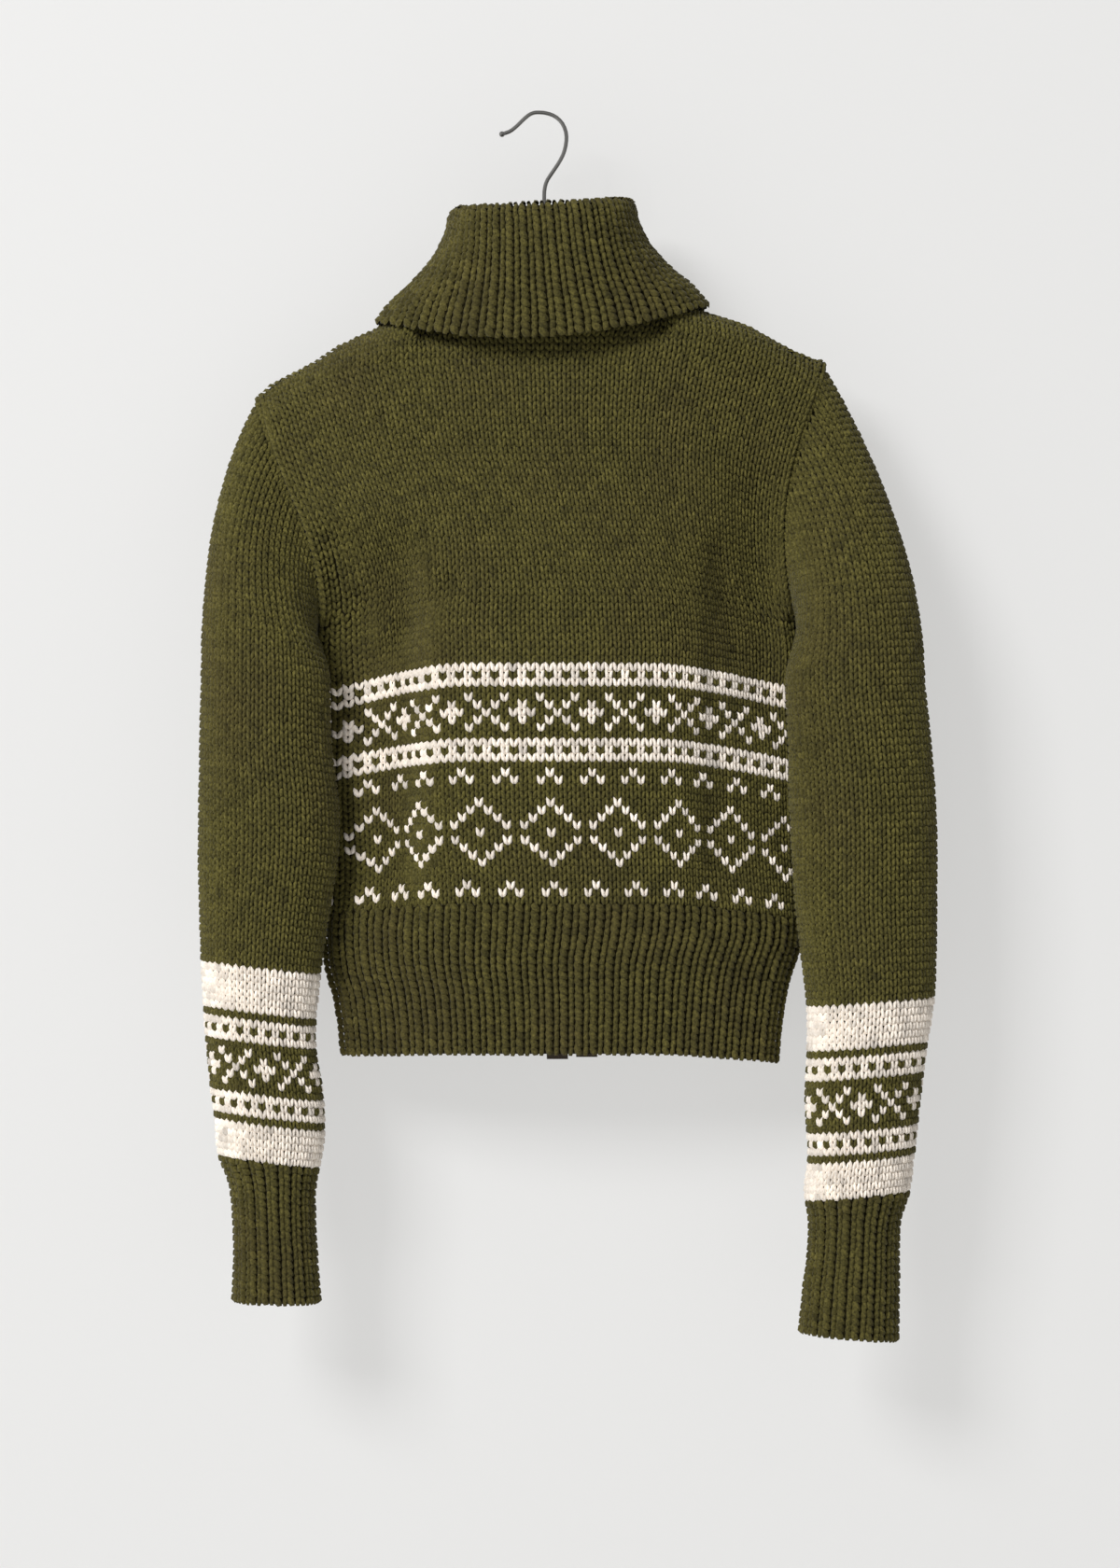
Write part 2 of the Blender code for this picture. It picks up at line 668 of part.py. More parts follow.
def zip_pieces(tape, chain):
    tape_depth = RIB_CLOTH + SEAM
    inner = CHAIN_HALF + SEAM
    zip_strip("zip_tape_left", ZIP_TOP, ZIP_BOTTOM, -inner - TAPE_WIDTH, -inner, tape_depth, TAPE_THICK, tape)
    zip_strip("zip_tape_right", ZIP_TOP, ZIP_BOTTOM, inner, inner + TAPE_WIDTH, tape_depth, TAPE_THICK, tape)
    chain_depth = tape_depth + (TAPE_THICK - CHAIN_THICK) / 2
    chain_start = SLIDER_DROP + 1
    stop_start = HEM - 8
    zip_strip("zip_chain", chain_start, stop_start - SEAM, -CHAIN_HALF, CHAIN_HALF,
              chain_depth, CHAIN_THICK, chain)
    zip_strip("zip_bottom_stop", stop_start, ZIP_BOTTOM - 0.5, -CHAIN_HALF, CHAIN_HALF,
              chain_depth - 0.4, CHAIN_THICK + 0.8, chain, 2)

    x, z = zip_x(SLIDER_DROP), -SLIDER_DROP
    face = front_face(SLIDER_DROP) - chain_depth + SEAM + 0.6
    high, low = z + SLIDER_HEIGHT / 2, z - SLIDER_HEIGHT / 2
    front_plate = face + SLIDER_PLATE
    behind = face - CHAIN_THICK - 1.8
    slider = box("zip_slider", (x - SLIDER_HALF, face, low), (x + SLIDER_HALF, front_plate, high))
    bar_y = front_plate + BRIDGE_ROOM
    pieces = [box("slider_back", (x - SLIDER_HALF, behind - 1.4, low), (x + SLIDER_HALF, behind, high))]
    pieces.append(box("slider_post", (x - 1.4, behind - 0.7, z + 1.2), (x + 1.4, face + 0.7, high - 0.6)))
    for end in (-1, 1):
        foot = z + end * (BRIDGE_HALF_HEIGHT - BRIDGE_BAR / 2)
        pieces.append(box(
            f"slider_leg_{end}",
            (x - BRIDGE_HALF_WIDTH, front_plate - 0.7, foot - BRIDGE_BAR / 2),
            (x + BRIDGE_HALF_WIDTH, bar_y + 0.6, foot + BRIDGE_BAR / 2),
        ))
    pieces.append(box(
        "slider_bar",
        (x - BRIDGE_HALF_WIDTH, bar_y, z - BRIDGE_HALF_HEIGHT),
        (x + BRIDGE_HALF_WIDTH, bar_y + BRIDGE_BAR, z + BRIDGE_HALF_HEIGHT),
    ))
    combined(slider, pieces, "UNION")

    middle = front_plate + BRIDGE_ROOM / 2
    half = PULL_THICK / 2
    pull = box(
        "zip_pull",
        (x - PULL_HALF, middle - half, z - PULL_LENGTH + half),
        (x + PULL_HALF, middle + half, z + half),
        (x, middle, z),
    )
    window = box(
        "pull_window",
        (x - PULL_WINDOW_HALF, middle - 3, z - half - PULL_WINDOW),
        (x + PULL_WINDOW_HALF, middle + 3, z - half),
    )
    combined(pull, [window], "DIFFERENCE")


def tube(name, path, radii, sides, material, flat=1.0):
    """A bar of round section along a line in the plane of the hanger."""
    solid = Solid()
    rings = []
    tangents = np.gradient(path, axis=0)
    for point, way, radius in zip(path, tangents, radii):
        way = way / np.linalg.norm(way)
        up = np.array([-way[2], 0, way[0]])
        turn = np.linspace(0, 2 * math.pi, sides, endpoint=False)
        rings.append([
            point + radius * (math.cos(a) * up * flat + math.sin(a) * np.array([0, 1, 0])) for a in turn
        ])
    index = solid.add(rings).reshape(len(path), sides)
    solid.skin(index, True, True)
    solid.faces.append(list(index[0]))
    solid.faces.append(list(index[-1][::-1]))
    return solid.build(name, material)


def hanger_line(x):
    """The shoulder line, which the arms follow under the cloth, rising a little inside the collar."""
    neck = np.clip(2 * (x - NECK_LEFT) / (NECK_RIGHT - NECK_LEFT) - 1, -1, 1)
    return np.interp(x, SHOULDER_X, SHOULDER_DROP) - HANGER_RISE * (1 - neck ** 2)


def hanger(wood, steel):
    x = np.linspace(HANGER_ENDS[0], HANGER_ENDS[1], 34)
    ends = np.minimum(x - HANGER_ENDS[0], HANGER_ENDS[1] - x)
    size = HANGER_HALF_DEPTH * (0.55 + 0.45 * arch(ends / 12))
    flat = HANGER_HALF_HEIGHT / HANGER_HALF_DEPTH
    line = np.stack([x, 0 * x, -hanger_line(x)], axis=1)
    way = np.gradient(line, axis=0)
    down = np.stack([way[:, 2], 0 * x, -way[:, 0]], axis=1)
    down /= np.linalg.norm(down, axis=1, keepdims=True)
    path = line + down * (CLOTH + HANGER_UNDER + size * flat)[:, None]
    tube("hanger_arms", path, size, 12, wood, flat)

    foot = float(np.interp(STEM_X, path[:, 0], path[:, 2])) + HANGER_HALF_HEIGHT + SEAM
    stem = [np.array([STEM_X, 0, z]) for z in (foot, foot + 30)]
    number = np.arange(len(HOOK["x"]))
    at = np.linspace(0, number[-1], 40)
    bend = np.stack([curve(at, number, HOOK["x"]), 0 * at, curve(at, number, HOOK["z"])], axis=1)
    path = np.array(stem + list(bend))
    radii = np.full(len(path), WIRE)
    last = path[-1] - path[-2]
    last = last / np.linalg.norm(last)
    ball = [path[-1] + last * BALL * (1 + math.sin(a)) for a in np.radians((-50, -20, 10, 40, 70))]
    path = np.vstack([path, ball])
    radii = np.append(radii, [BALL * math.cos(a) for a in np.radians((-50, -20, 10, 40, 70))])
    tube("hanger_hook", path, radii, 10, steel)


def finish(name, colour, roughness, metallic=0.0):
    material = bpy.data.materials.get(name) or bpy.data.materials.new(name)
    material.use_nodes = True
    shader = material.node_tree.nodes["Principled BSDF"]
    shader.inputs["Base Color"].default_value = (*colour, 1)
    shader.inputs["Roughness"].default_value = roughness
    shader.inputs["Metallic"].default_value = metallic
    return material


def metal():
    return finish("nickel", (0.55, 0.54, 0.52), 0.35, 1.0)


def main():
    for obj in list(bpy.data.objects):
        bpy.data.objects.remove(obj, do_unlink=True)
    green = finish("green_wool", (0.075, 0.068, 0.021), 0.9)
    rib = finish("green_rib", (0.070, 0.064, 0.020), 0.9)
    tape = finish("zip_tape", (0.030, 0.026, 0.020), 0.8)
    wood = finish("hanger_wood", (0.42, 0.25, 0.12), 0.5)
    body_panels(green, rib)
    sleeves(green, rib)
    collar(rib)
    zip_pieces(tape, metal())
    hanger(wood, metal())


main()
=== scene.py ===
"""The looks of a chunky knitted zip cardigan on a hanger, seen from behind.

The surfaces come from the same functions and tables as the CAD source, in millimetres, where drop
is the distance below the hook. Knit stitches are laid over them in rows and columns.
"""

import math

import bpy
import numpy as np
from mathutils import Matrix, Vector
from numpy.linalg import norm


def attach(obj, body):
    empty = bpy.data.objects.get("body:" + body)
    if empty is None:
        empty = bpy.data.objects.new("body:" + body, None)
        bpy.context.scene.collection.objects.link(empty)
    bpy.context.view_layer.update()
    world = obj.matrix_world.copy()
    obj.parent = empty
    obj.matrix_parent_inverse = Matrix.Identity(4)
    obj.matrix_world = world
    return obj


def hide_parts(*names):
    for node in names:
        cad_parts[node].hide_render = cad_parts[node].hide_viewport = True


MM = 0.001
SEAM = 0.3
ARMHOLE_SEAM = 0.7
CLOTH = 3.6
RIB_CLOTH = 4.4

SHOULDER_X = (-192, -183, -155, -135, -112, -86, 97.5, 122, 148, 181, 201)
SHOULDER_DROP = (198.5, 190, 175.5, 162.5, 152, 138.5, 129.5, 140, 148.2, 166.4, 174.5)
NECK_LEFT, NECK_RIGHT = -86.0, 97.5
NECK_DIP_BACK, NECK_DIP_FRONT = 13.0, 68.0
NECK_DEPTH_BACK, NECK_DEPTH_FRONT = 32.0, 26.0
SHOULDER_ROUND = 22.0
ARMHOLE = {-1: (198.5, 358.0), 1: (174.5, 354.0)}
ARMHOLE_DEPTH = 24.0
SIDE_ROUND = 8.0
BULGE_POWER = 2.5
ARMHOLE_REACH, SWELL_MORE = 14, 25.0
RIB_TOP, HEM = 552.5, 657.5
BACK_RIBS, FRONT_RIBS = 32, 16
CUFF_RIBS, COLLAR_RIBS = 20, 46

ZIP_TOP, ZIP_BOTTOM = 204.0, 659.5
ZIP_X_TOP, ZIP_X_BOTTOM = 8.0, 26.6
ZIP_OPENING = 6.0
TAPE_WIDTH, TAPE_THICK = 15.0, 1.2
CHAIN_HALF, CHAIN_THICK = 2.6, 2.8
CHAIN_START, CHAIN_END = 253.0, 649.2
TOOTH_PITCH = 2.4

# Stitches of the plain knitting: how wide and how far apart they are, and how many to a piece.
STITCH, ROW = 6.2, 5.2
BACK_STITCHES, FRONT_STITCHES, SLEEVE_STITCHES = 64, 32, 40
SLEEVE_EXTRA = 9
# How far stitches sink into the face of the cloth, and how deep they are drawn.
STITCH_SINK, STITCH_DEEP = 1.3, 1.15
RIB_SINK, RIB_DEEP = 1.1, 1.2
# The width that rib stitches are drawn for, and how much wider every stitch is laid.
RIB_STITCH, CUFF_STITCH, OVERLAP = 7.0, 6.4, 1.04
# The shells behind the stitches start this far inside the face of the cloth.
CLOTH_INSET, RIB_INSET = 1.4, 1.9
# Differences from stitch to stitch: how it leans, its place in mm, its size and its tone.
LEAN_SPREAD, PLACE_SPREAD, SIZE_SPREAD, TONE_SPREAD = 0.03, 0.12, 0.03, 0.11


def table(names, *rows):
    """A table with named columns."""
    return dict(zip(names.split(), np.array(rows, float).T))


def each(columns):
    """The rows of a table, one at a time."""
    for values in zip(*columns.values()):
        yield dict(zip(columns, values))


# The body at each level: left and right side seams, and how far its middle stands out at the back
# and at the front.
BODY = table(
    "drop left right back front",
    (130, -192, 201, 32, 26),
    (175, -192, 201, 33, 27),
    (198, -192, 194.5, 35, 28),
    (220, -185.5, 187, 37, 29),
    (243, -178.5, 180.5, 38, 30),
    (265, -170.5, 176, 40, 30),
    (285, -162, 174, 43, 31),
    (313, -153.5, 174.5, 46, 31),
    (340, -149.5, 178.5, 48, 31),
    (352, -149.3, 181, 48.5, 31),
    (370, -151.2, 184.5, 49.5, 31),
    (420, -150, 184.5, 50, 31),
    (500, -150, 186, 49, 30),
    (550, -147, 187, 46, 29),
    (583, -147, 186, 43, 28),
    (600, -145, 180, 39, 27),
    (618, -139.5, 175.5, 37, 26),
    (635, -136.5, 173, 36, 26),
    (664, -134, 170, 35, 26),
)
# The two folds of the back: how far it steps back outside each, and over what width.
FOLDS = table("x step width", (-80, 18, 10), (119, 9, 6))
FOLD_TOP, FOLD_BOTTOM = 270.0, 575.0
# Soft hollows where the back is pulled in beside the arms, each along a line.
CREASES = table(
    "x drop end_x end_drop depth width",
    (-146, 305, -134, 410, 9, 15),
    (-122, 340, -120, 430, 4, 9),
    (160, 270, 160, 410, 12, 22),
    (128, 310, 140, 380, 4, 9),
    (-60, 330, -110, 385, 3, 10),
)
# How far a row of stitches sinks towards each side seam.
ROW_DROOP = table(
    "drop left right",
    (130, 23, 16),
    (385, 20, 17),
    (552, 8, 12),
    (660, 2, 7),
)
# The sleeves and their cuffs at each level: outer and inner edge, and half their depth.
SLEEVES = {
    -1: table(
        "drop outer inner half",
        (400, -231, -142, 28),
        (445, -232, -141, 28.5),
        (486, -232.7, -136, 28.5),
        (519, -232.7, -136.5, 28),
        (547, -232.5, -140.5, 27.5),
        (604, -230.4, -149, 27),
        (653, -227.5, -152, 26),
        (680, -224.5, -148, 26),
        (705, -221.5, -145.8, 26),
        (727, -219, -147.5, 24.5),
        (747, -211.5, -152, 20.5),
        (773, -208.7, -152.8, 19.5),
        (797, -208, -151.5, 20),
        (834, -209.5, -148.5, 21),
    ),
    1: table(
        "drop outer inner half",
        (400, 271.5, 175.5, 29),
        (442, 276, 177, 29.5),
        (491, 279.5, 178.5, 29.5),
        (540, 280, 181, 29),
        (588, 279.5, 186, 28),
        (620, 278, 190, 27),
        (650, 273.5, 190.5, 26.5),
        (694, 268, 189, 26),
        (730, 264, 191, 25.5),
        (753, 261, 188.5, 24),
        (772, 255, 191.5, 20.5),
        (795, 253.5, 191, 20),
        (815, 253.5, 188.5, 20),
        (860, 253, 184, 21.5),
    ),
}
SLEEVE_MIDDLE_Y = -28.0
SLEEVE_JOIN = 400.0
# The top and the foot of each cuff: their middle's level and how far they slant to each edge.
CUFFS = {
    -1: table("drop slant", (731.5, 4.5), (829.5, 0.5)),
    1: table("drop slant", (755.5, 3.5), (853.5, -3.0)),
}
# Rings of the collar from its foot inside the neck, over the fold, to its lower edge outside.
COLLAR_CENTRE, COLLAR_TILT = 5.75, 0.05
COLLAR = table(
    "width side back back_drop front front_drop square",
    (88.0, 132.0, 31.0, 145.0, 24.5, 200.0, 2.0),
    (77.0, 120.0, 37.0, 128.0, 29.0, 180.0, 2.2),
    (63.0, 98.0, 46.0, 100.0, 37.0, 150.0, 2.5),
    (56.0, 78.0, 50.0, 80.0, 40.0, 131.0, 2.6),
    (57.0, 70.5, 51.5, 73.0, 41.5, 124.0, 2.6),
    (61.0, 65.5, 56.0, 69.0, 46.0, 119.5, 2.6),
    (65.0, 69.5, 60.5, 73.0, 50.5, 124.0, 2.6),
    (67.5, 80.0, 62.0, 82.0, 52.0, 133.0, 2.6),
    (75.5, 96.0, 62.0, 103.0, 54.0, 148.0, 2.4),
    (90.5, 113.0, 60.0, 125.0, 55.0, 166.0, 2.2),
    (105.5, 126.0, 57.0, 144.0, 55.0, 182.0, 2.1),
    (117.0, 139.5, 55.0, 160.5, 55.0, 197.0, 2.0),
)

# The traditional band pattern, one repeat of each row from the top down: x is a cream stitch.
BAND = ("x", "x.", "x")
CROSSES = ("..x...x.", "x..x.x..", "xx..x..x", "x..x.x..", "..x...x.")
PEAKS = ("..x..", ".x.x.")
DIAMONDS = (
    "....x...", "...x.x..", "..x...x.", ".x.....x", "....x...",
    ".x.....x", "..x...x.", "...x.x..", "....x...",
)
PLAIN = (".",)
BODY_CHART = (
    BAND + PLAIN + CROSSES + PLAIN + BAND + PLAIN + PEAKS + PLAIN * 2 + DIAMONDS + PLAIN * 2 + PEAKS
)
SLEEVE_CHART = (
    ("x",) * 6 + PLAIN + BAND + PLAIN + CROSSES + PLAIN + BAND + PLAIN + ("x",) * 5
)
# Rows below the body's chart, and how many columns each pattern is moved to meet the photo's.
BODY_CHART_START, BODY_CHART_SHIFT, SLEEVE_CHART_SHIFT, PEAK_SHIFT = 1, 2, -1, 2
# From this line of the chart down, the diamonds lie one column further back.
DIAMOND_LINE, DIAMOND_BACK = 18, 1
# Where the columns of the back hang, at one level of it.
COLUMN_LEVEL = 502.0
COLUMNS = table(
    "column x",
    (-0.5, -150.0), (4, -115.7), (9, -92.3), (14, -76.1), (19, -49.4), (24, -18.9), (29, 11.7),
    (34, 41.0), (39, 68.9), (44, 95.6), (49, 117.7), (54, 141.7), (59, 165.8), (63.5, 186.0),
)
# How far the collar's ribs swing to the right at its lower edge, as a share of its length.
COLLAR_LEAN = 0.0125
# Sewn seams: their stitches, and the strip of rolled edge under them.
SEAM_STITCH, SEAM_RISE, SEAM_TALL = 4.6, 1.2, 0.9
ROLL_HALF, ROLL_FALL, ROLL_INSET, ROLL_THICK = 2.6, 1.6, 0.9, 0.8

# The two legs of a stitch, from their tips at the top to the foot where they meet.
LEGS = table(
    "top_x top_y foot_x foot_y width height",
    (-2.70, 3.8, -0.55, -3.7, 3.0, 2.2),
    (2.60, 4.0, 0.70, -3.8, 2.8, 2.0),
)
# In a rib the left leg is a bold slanted lump and the right one a thin upright strand.
RIB_LEGS = table(
    "top_x top_y foot_x foot_y width height",
    (-2.6, 3.9, -0.8, -3.7, 3.4, 2.3),
    (2.3, 4.1, 1.7, -4.0, 2.4, 1.9),
)
# Sections along a leg: how far along, its share of the width, and its height or sunk tip.
LEG_STATIONS = ((0.0, 0.22, -0.5), (0.34, 0.90, 0.85), (0.74, 1.0, 1.0), (1.0, 0.65, 0.1))
# Points of a section: their share of the width, and 1 where they are raised.
LEG_SECTION = ((-0.5, 0.0), (-0.22, 1.0), (0.22, 1.0), (0.5, 0.0))
LEG_SINK = 0.2

# Yarn and dye colours, dark and light.
GREEN = (0.032, 0.028, 0.005), (0.122, 0.106, 0.026)
RIB_GREEN = (0.028, 0.024, 0.005), (0.104, 0.089, 0.022)
CREAM = (0.70, 0.62, 0.53), (0.87, 0.80, 0.72)
# The knitting behind the stitches is painted shade, far darker than the green or cream yarn it
# stands for.
PAINTED_SHADE_BEHIND = (0.006, 0.005, 0.001), (0.014, 0.011, 0.003)
TAPE = (0.028, 0.018, 0.010), (0.060, 0.042, 0.026)
WOOD = (0.24, 0.12, 0.05), (0.50, 0.31, 0.15)
BROWN_DYE = (0.050, 0.036, 0.014)
STEEL, BRASS = (0.24, 0.235, 0.225), (0.42, 0.32, 0.18)
FLOOR_GREY, WALL_GREY, WALL_GLOW = (0.80, 0.80, 0.79), (0.22, 0.22, 0.22), (0.86, 0.855, 0.84)

CAMERA_X, CAMERA_DROP, CAMERA_AWAY = 18.2, 470.0, 3000.0
VIEW_HEIGHT, VIEW_PLANE_Y = 1092.0, -25.0
SENSOR = 24.0
WALL_Y, FLOOR_DROP = 62.0, 1250.0
STUDIO_HALF, WALL_TOP = 4000.0, 2500.0
GLOW_STRENGTH, WORLD_STRENGTH = 0.62, 0.30
# The place of each light, its size in mm and its power.
LIGHTS = {
    "key_light": ((-2300, -3300, 1900), 1600, 216),
    "fill_light": ((1600, -2400, -200), 2000, 3),
}


def curve(at, places, values):
    """A smooth curve through a table's values."""
    places = np.asarray(places, float)
    values = np.asarray(values, float)
    slopes = np.gradient(values, places)
    at = np.clip(at, places[0], places[-1])
    k = np.clip(np.searchsorted(places, at) - 1, 0, len(places) - 2)
    step = places[k + 1] - places[k]
    t = (at - places[k]) / step
    rise = t * t * (3 - 2 * t)
    return (
        values[k] + (values[k + 1] - values[k]) * rise
        + step * (slopes[k] * t * (1 - t) ** 2 - slopes[k + 1] * t * t * (1 - t))
    )


def arch(t):
    """A quarter circle that starts upright at 0 and is level from 1 on."""
    return np.sqrt(1 - (1 - np.clip(t, 0, 1)) ** 2)


def ease(t):
    """A soft step from 0 to 1."""
    t = np.clip(t, 0, 1)
    return t * t * (3 - 2 * t)


def body_x(s, drop):
    """Across the body: s is -1 at the left side seam and 1 at the right one."""
    left = curve(drop, BODY["drop"], BODY["left"])
    right = curve(drop, BODY["drop"], BODY["right"])
    return (left + right) / 2 + s * (right - left) / 2


def neck_drop(x, front):
    """The shoulder line and the neck edge, by their place across."""
    neck = np.clip(2 * (x - NECK_LEFT) / (NECK_RIGHT - NECK_LEFT) - 1, -1, 1)
    dip = np.where(front, NECK_DIP_FRONT, NECK_DIP_BACK)
    return np.interp(x, SHOULDER_X, SHOULDER_DROP) + dip * (1 - neck ** 2)


def top_drop(s, front):
    """The top edge of a panel. Its place across depends on its level, so it takes a few steps."""
    drop = 150.0 + 0 * s
    for _ in range(10):
        drop = neck_drop(body_x(s, drop), front)
    return drop


def armhole_depth(side, drop):
    """Half the opening of an armhole at a level."""
    tip, underarm = ARMHOLE[side]
    t = np.clip((drop - tip) / (underarm - tip), 0, 1)
    return ARMHOLE_DEPTH * np.sqrt(1 - (2 * t - 1) ** 2)


def armhole_swell(side, drop):
    """How far the cloth beside an armhole stands out: a softer swell than the opening's edge."""
    tip, underarm = ARMHOLE[side]
    t = np.clip((drop - tip + SWELL_MORE) / (underarm - tip + 2 * SWELL_MORE), 0, 1)
    return ARMHOLE_DEPTH * np.sin(math.pi * t) ** 2


def creases(x, drop):
    """How far the hollows beside the arms pull the back in."""
    pulled = 0 * x
    for one in each(CREASES):
        way_x, way_drop = one["end_x"] - one["x"], one["end_drop"] - one["drop"]
        along_way = (x - one["x"]) * way_x + (drop - one["drop"]) * way_drop
        t = np.clip(along_way / (way_x ** 2 + way_drop ** 2), 0, 1)
        far = np.hypot(x - one["x"] - t * way_x, drop - one["drop"] - t * way_drop)
        pulled = pulled + one["depth"] * np.exp(-(far / one["width"]) ** 2)
    return pulled


def body_depth(s, drop, front):
    """How far the outer face stands out from the plane of the side seams."""
    x = body_x(s, drop)
    side = np.where(s < 0, armhole_depth(-1, drop), armhole_depth(1, drop))
    beside = np.where(s < 0, armhole_swell(-1, drop), armhole_swell(1, drop))
    edge = beside + (side - beside) * np.abs(s) ** ARMHOLE_REACH
    side_round = SIDE_ROUND - (SIDE_ROUND - 3) * edge / ARMHOLE_DEPTH
    from_edge = (1 - np.abs(s)) * (body_x(1, drop) - body_x(-1, drop)) / 2
    middle = curve(drop, BODY["drop"], BODY["front" if front else "back"])
    depth = edge + side_round * arch(from_edge / side_round)
    depth = depth + (middle - edge - side_round) * (1 - np.abs(s) ** BULGE_POWER)
    if not front:
        reach = ease((drop - FOLD_TOP) / 80) * ease((FOLD_BOTTOM - drop) / 60)
        left = (1 - np.tanh((x - FOLDS["x"][0]) / FOLDS["width"][0])) / 2
        right = (1 + np.tanh((x - FOLDS["x"][1]) / FOLDS["width"][1])) / 2
        back_by = FOLDS["step"][0] * left + FOLDS["step"][1] * right
        depth = depth - reach * back_by * (1 - np.abs(s) ** 6)
        depth = depth - creases(x, drop) * (1 - np.abs(s) ** 9)
    start = body_x(s, top_drop(s, front))
    neck = 2 * (start - NECK_LEFT) / (NECK_RIGHT - NECK_LEFT) - 1
    neck_depth = NECK_DEPTH_FRONT if front else NECK_DEPTH_BACK
    at_top = neck_depth * np.sqrt(np.clip(1 - neck ** 2, 0, 1))
    below = drop - top_drop(s, front)
    in_neck = ease((1 - np.abs(neck)) / 0.1)
    blend = in_neck * ease(below / 35) + (1 - in_neck) * arch(below / SHOULDER_ROUND)
    return at_top + (depth - at_top) * blend


def row_drop(s, drop):
    """The level of a row of stitches whose middle lies at drop."""
    side = np.where(
        s < 0,
        curve(drop, ROW_DROOP["drop"], ROW_DROOP["left"]),
        curve(drop, ROW_DROOP["drop"], ROW_DROOP["right"]),
    )
    return drop + side * np.clip((np.abs(s) - 0.4) / 0.6, 0, 1) ** 1.5


def body_point(s, drop, front):
    """A point of the outer face of the back or of a front."""
    facing = 1 if front else -1
    y = facing * (SEAM / 2 + body_depth(s, drop, front))
    return np.stack([body_x(s, drop), y, -drop], axis=-1)


def line_length(points):
    """How far along a line each of its points lies."""
    steps = norm(np.diff(points[:, :3], axis=0), axis=1)
    return np.concatenate([[0], np.cumsum(steps)])


def read_line(at, length, values):
    """The values that a line's points carry, read at places along its length."""
    return np.stack([np.interp(at, length, column) for column in values.T], axis=1)


def along(points, shares):
    """Points at shares of a line's length, with any further columns they carry."""
    length = line_length(points)
    return read_line(np.asarray(shares) * length[-1], length, points)


def zip_x(drop):
    share = (drop - ZIP_TOP) / (ZIP_BOTTOM - ZIP_TOP)
    return ZIP_X_TOP + (ZIP_X_BOTTOM - ZIP_X_TOP) * share


def zip_s(drop, offset):
    """The place across the body of a line beside the zip's middle."""
    left, right = body_x(-1, drop), body_x(1, drop)
    return 2 * (zip_x(drop) + offset - left) / (right - left) - 1


def panel_s(side, drop_of):
    """Places across a panel, close together at its ends. side is 0 for the back."""
    share = (1 - np.cos(np.linspace(0, math.pi, 160))) / 2
    if side == 0:
        return 2 * share - 1
    start = zip_s(400.0, side * ZIP_OPENING)
    for _ in range(6):
        start = zip_s(drop_of(start), side * ZIP_OPENING)
    return np.sort(start + (side - start) * share)


def panel_grid(side, level, levels, shares):
    """Rows of a panel, each as x, y, z, s and drop at shares of its length."""
    grid = []
    for k, v in enumerate(levels):
        s = panel_s(side, lambda at: level(at, v))
        drop = level(s, v)
        line = np.concatenate([body_point(s, drop, side != 0), s[:, None], drop[:, None]], axis=1)
        grid.append(along(line, shares[k]))
    return np.array(grid)


def back_columns():
    """The columns of the back at COLUMN_LEVEL, closer in its folds, as shares of the row."""
    s = panel_s(0, None)
    line = body_point(s, np.full_like(s, COLUMN_LEVEL), False)
    length = line_length(line)
    x = curve(np.arange(BACK_STITCHES), COLUMNS["column"], COLUMNS["x"])
    return np.interp(x, line[:, 0], length) / length[-1]


def sleeve_ring(side, angle, drop):
    """The sleeve or cuff at a level. Angle 0 is its outer edge, a quarter turn faces the back."""
    rows = SLEEVES[side]
    outer = curve(drop, rows["drop"], rows["outer"])
    inner = curve(drop, rows["drop"], rows["inner"])
    half = curve(drop, rows["drop"], rows["half"])
    x = (outer + inner) / 2 + (outer - inner) / 2 * np.cos(angle)
    y = SLEEVE_MIDDLE_Y - half * np.sin(angle)
    return np.stack([x, y, -drop], axis=-1)


def armhole_ring(side, angle):
    """The edge of a sleeve where it is sewn in. Angle 0 is the tip of the shoulder."""
    tip, underarm = ARMHOLE[side]
    drop = (tip + underarm) / 2 - (underarm - tip) / 2 * np.cos(angle)
    y = -ARMHOLE_DEPTH * np.sin(angle)
    return np.stack([body_x(side, drop) + side * ARMHOLE_SEAM, y, -drop], axis=-1)


def cuff_level(side, which, angle):
    """The level round a cuff: which is 0 for its top and 1 for its foot."""
    return CUFFS[side]["drop"][which] - CUFFS[side]["slant"][which] * np.cos(angle)


def sleeve_cap(side, angle, v):
    """From the armhole round and down to the hanging sleeve."""
    start = armhole_ring(side, angle)
    end = sleeve_ring(side, angle, np.full_like(angle, SLEEVE_JOIN))
    low = (1 - np.cos(angle)) / 2
    away = np.stack([side * (0.5 - 0.05 * low), -0.3 * np.sin(angle), -0.87 + 0.45 * low], axis=-1)
    reach = norm(end - start, axis=-1, keepdims=True)
    rise = v * v * (3 - 2 * v)
    return (
        start * (1 - rise) + end * rise
        + reach * away * v * (1 - v) ** 2
        + reach * np.array([0, 0, 1.0]) * v * v * (1 - v)
    )


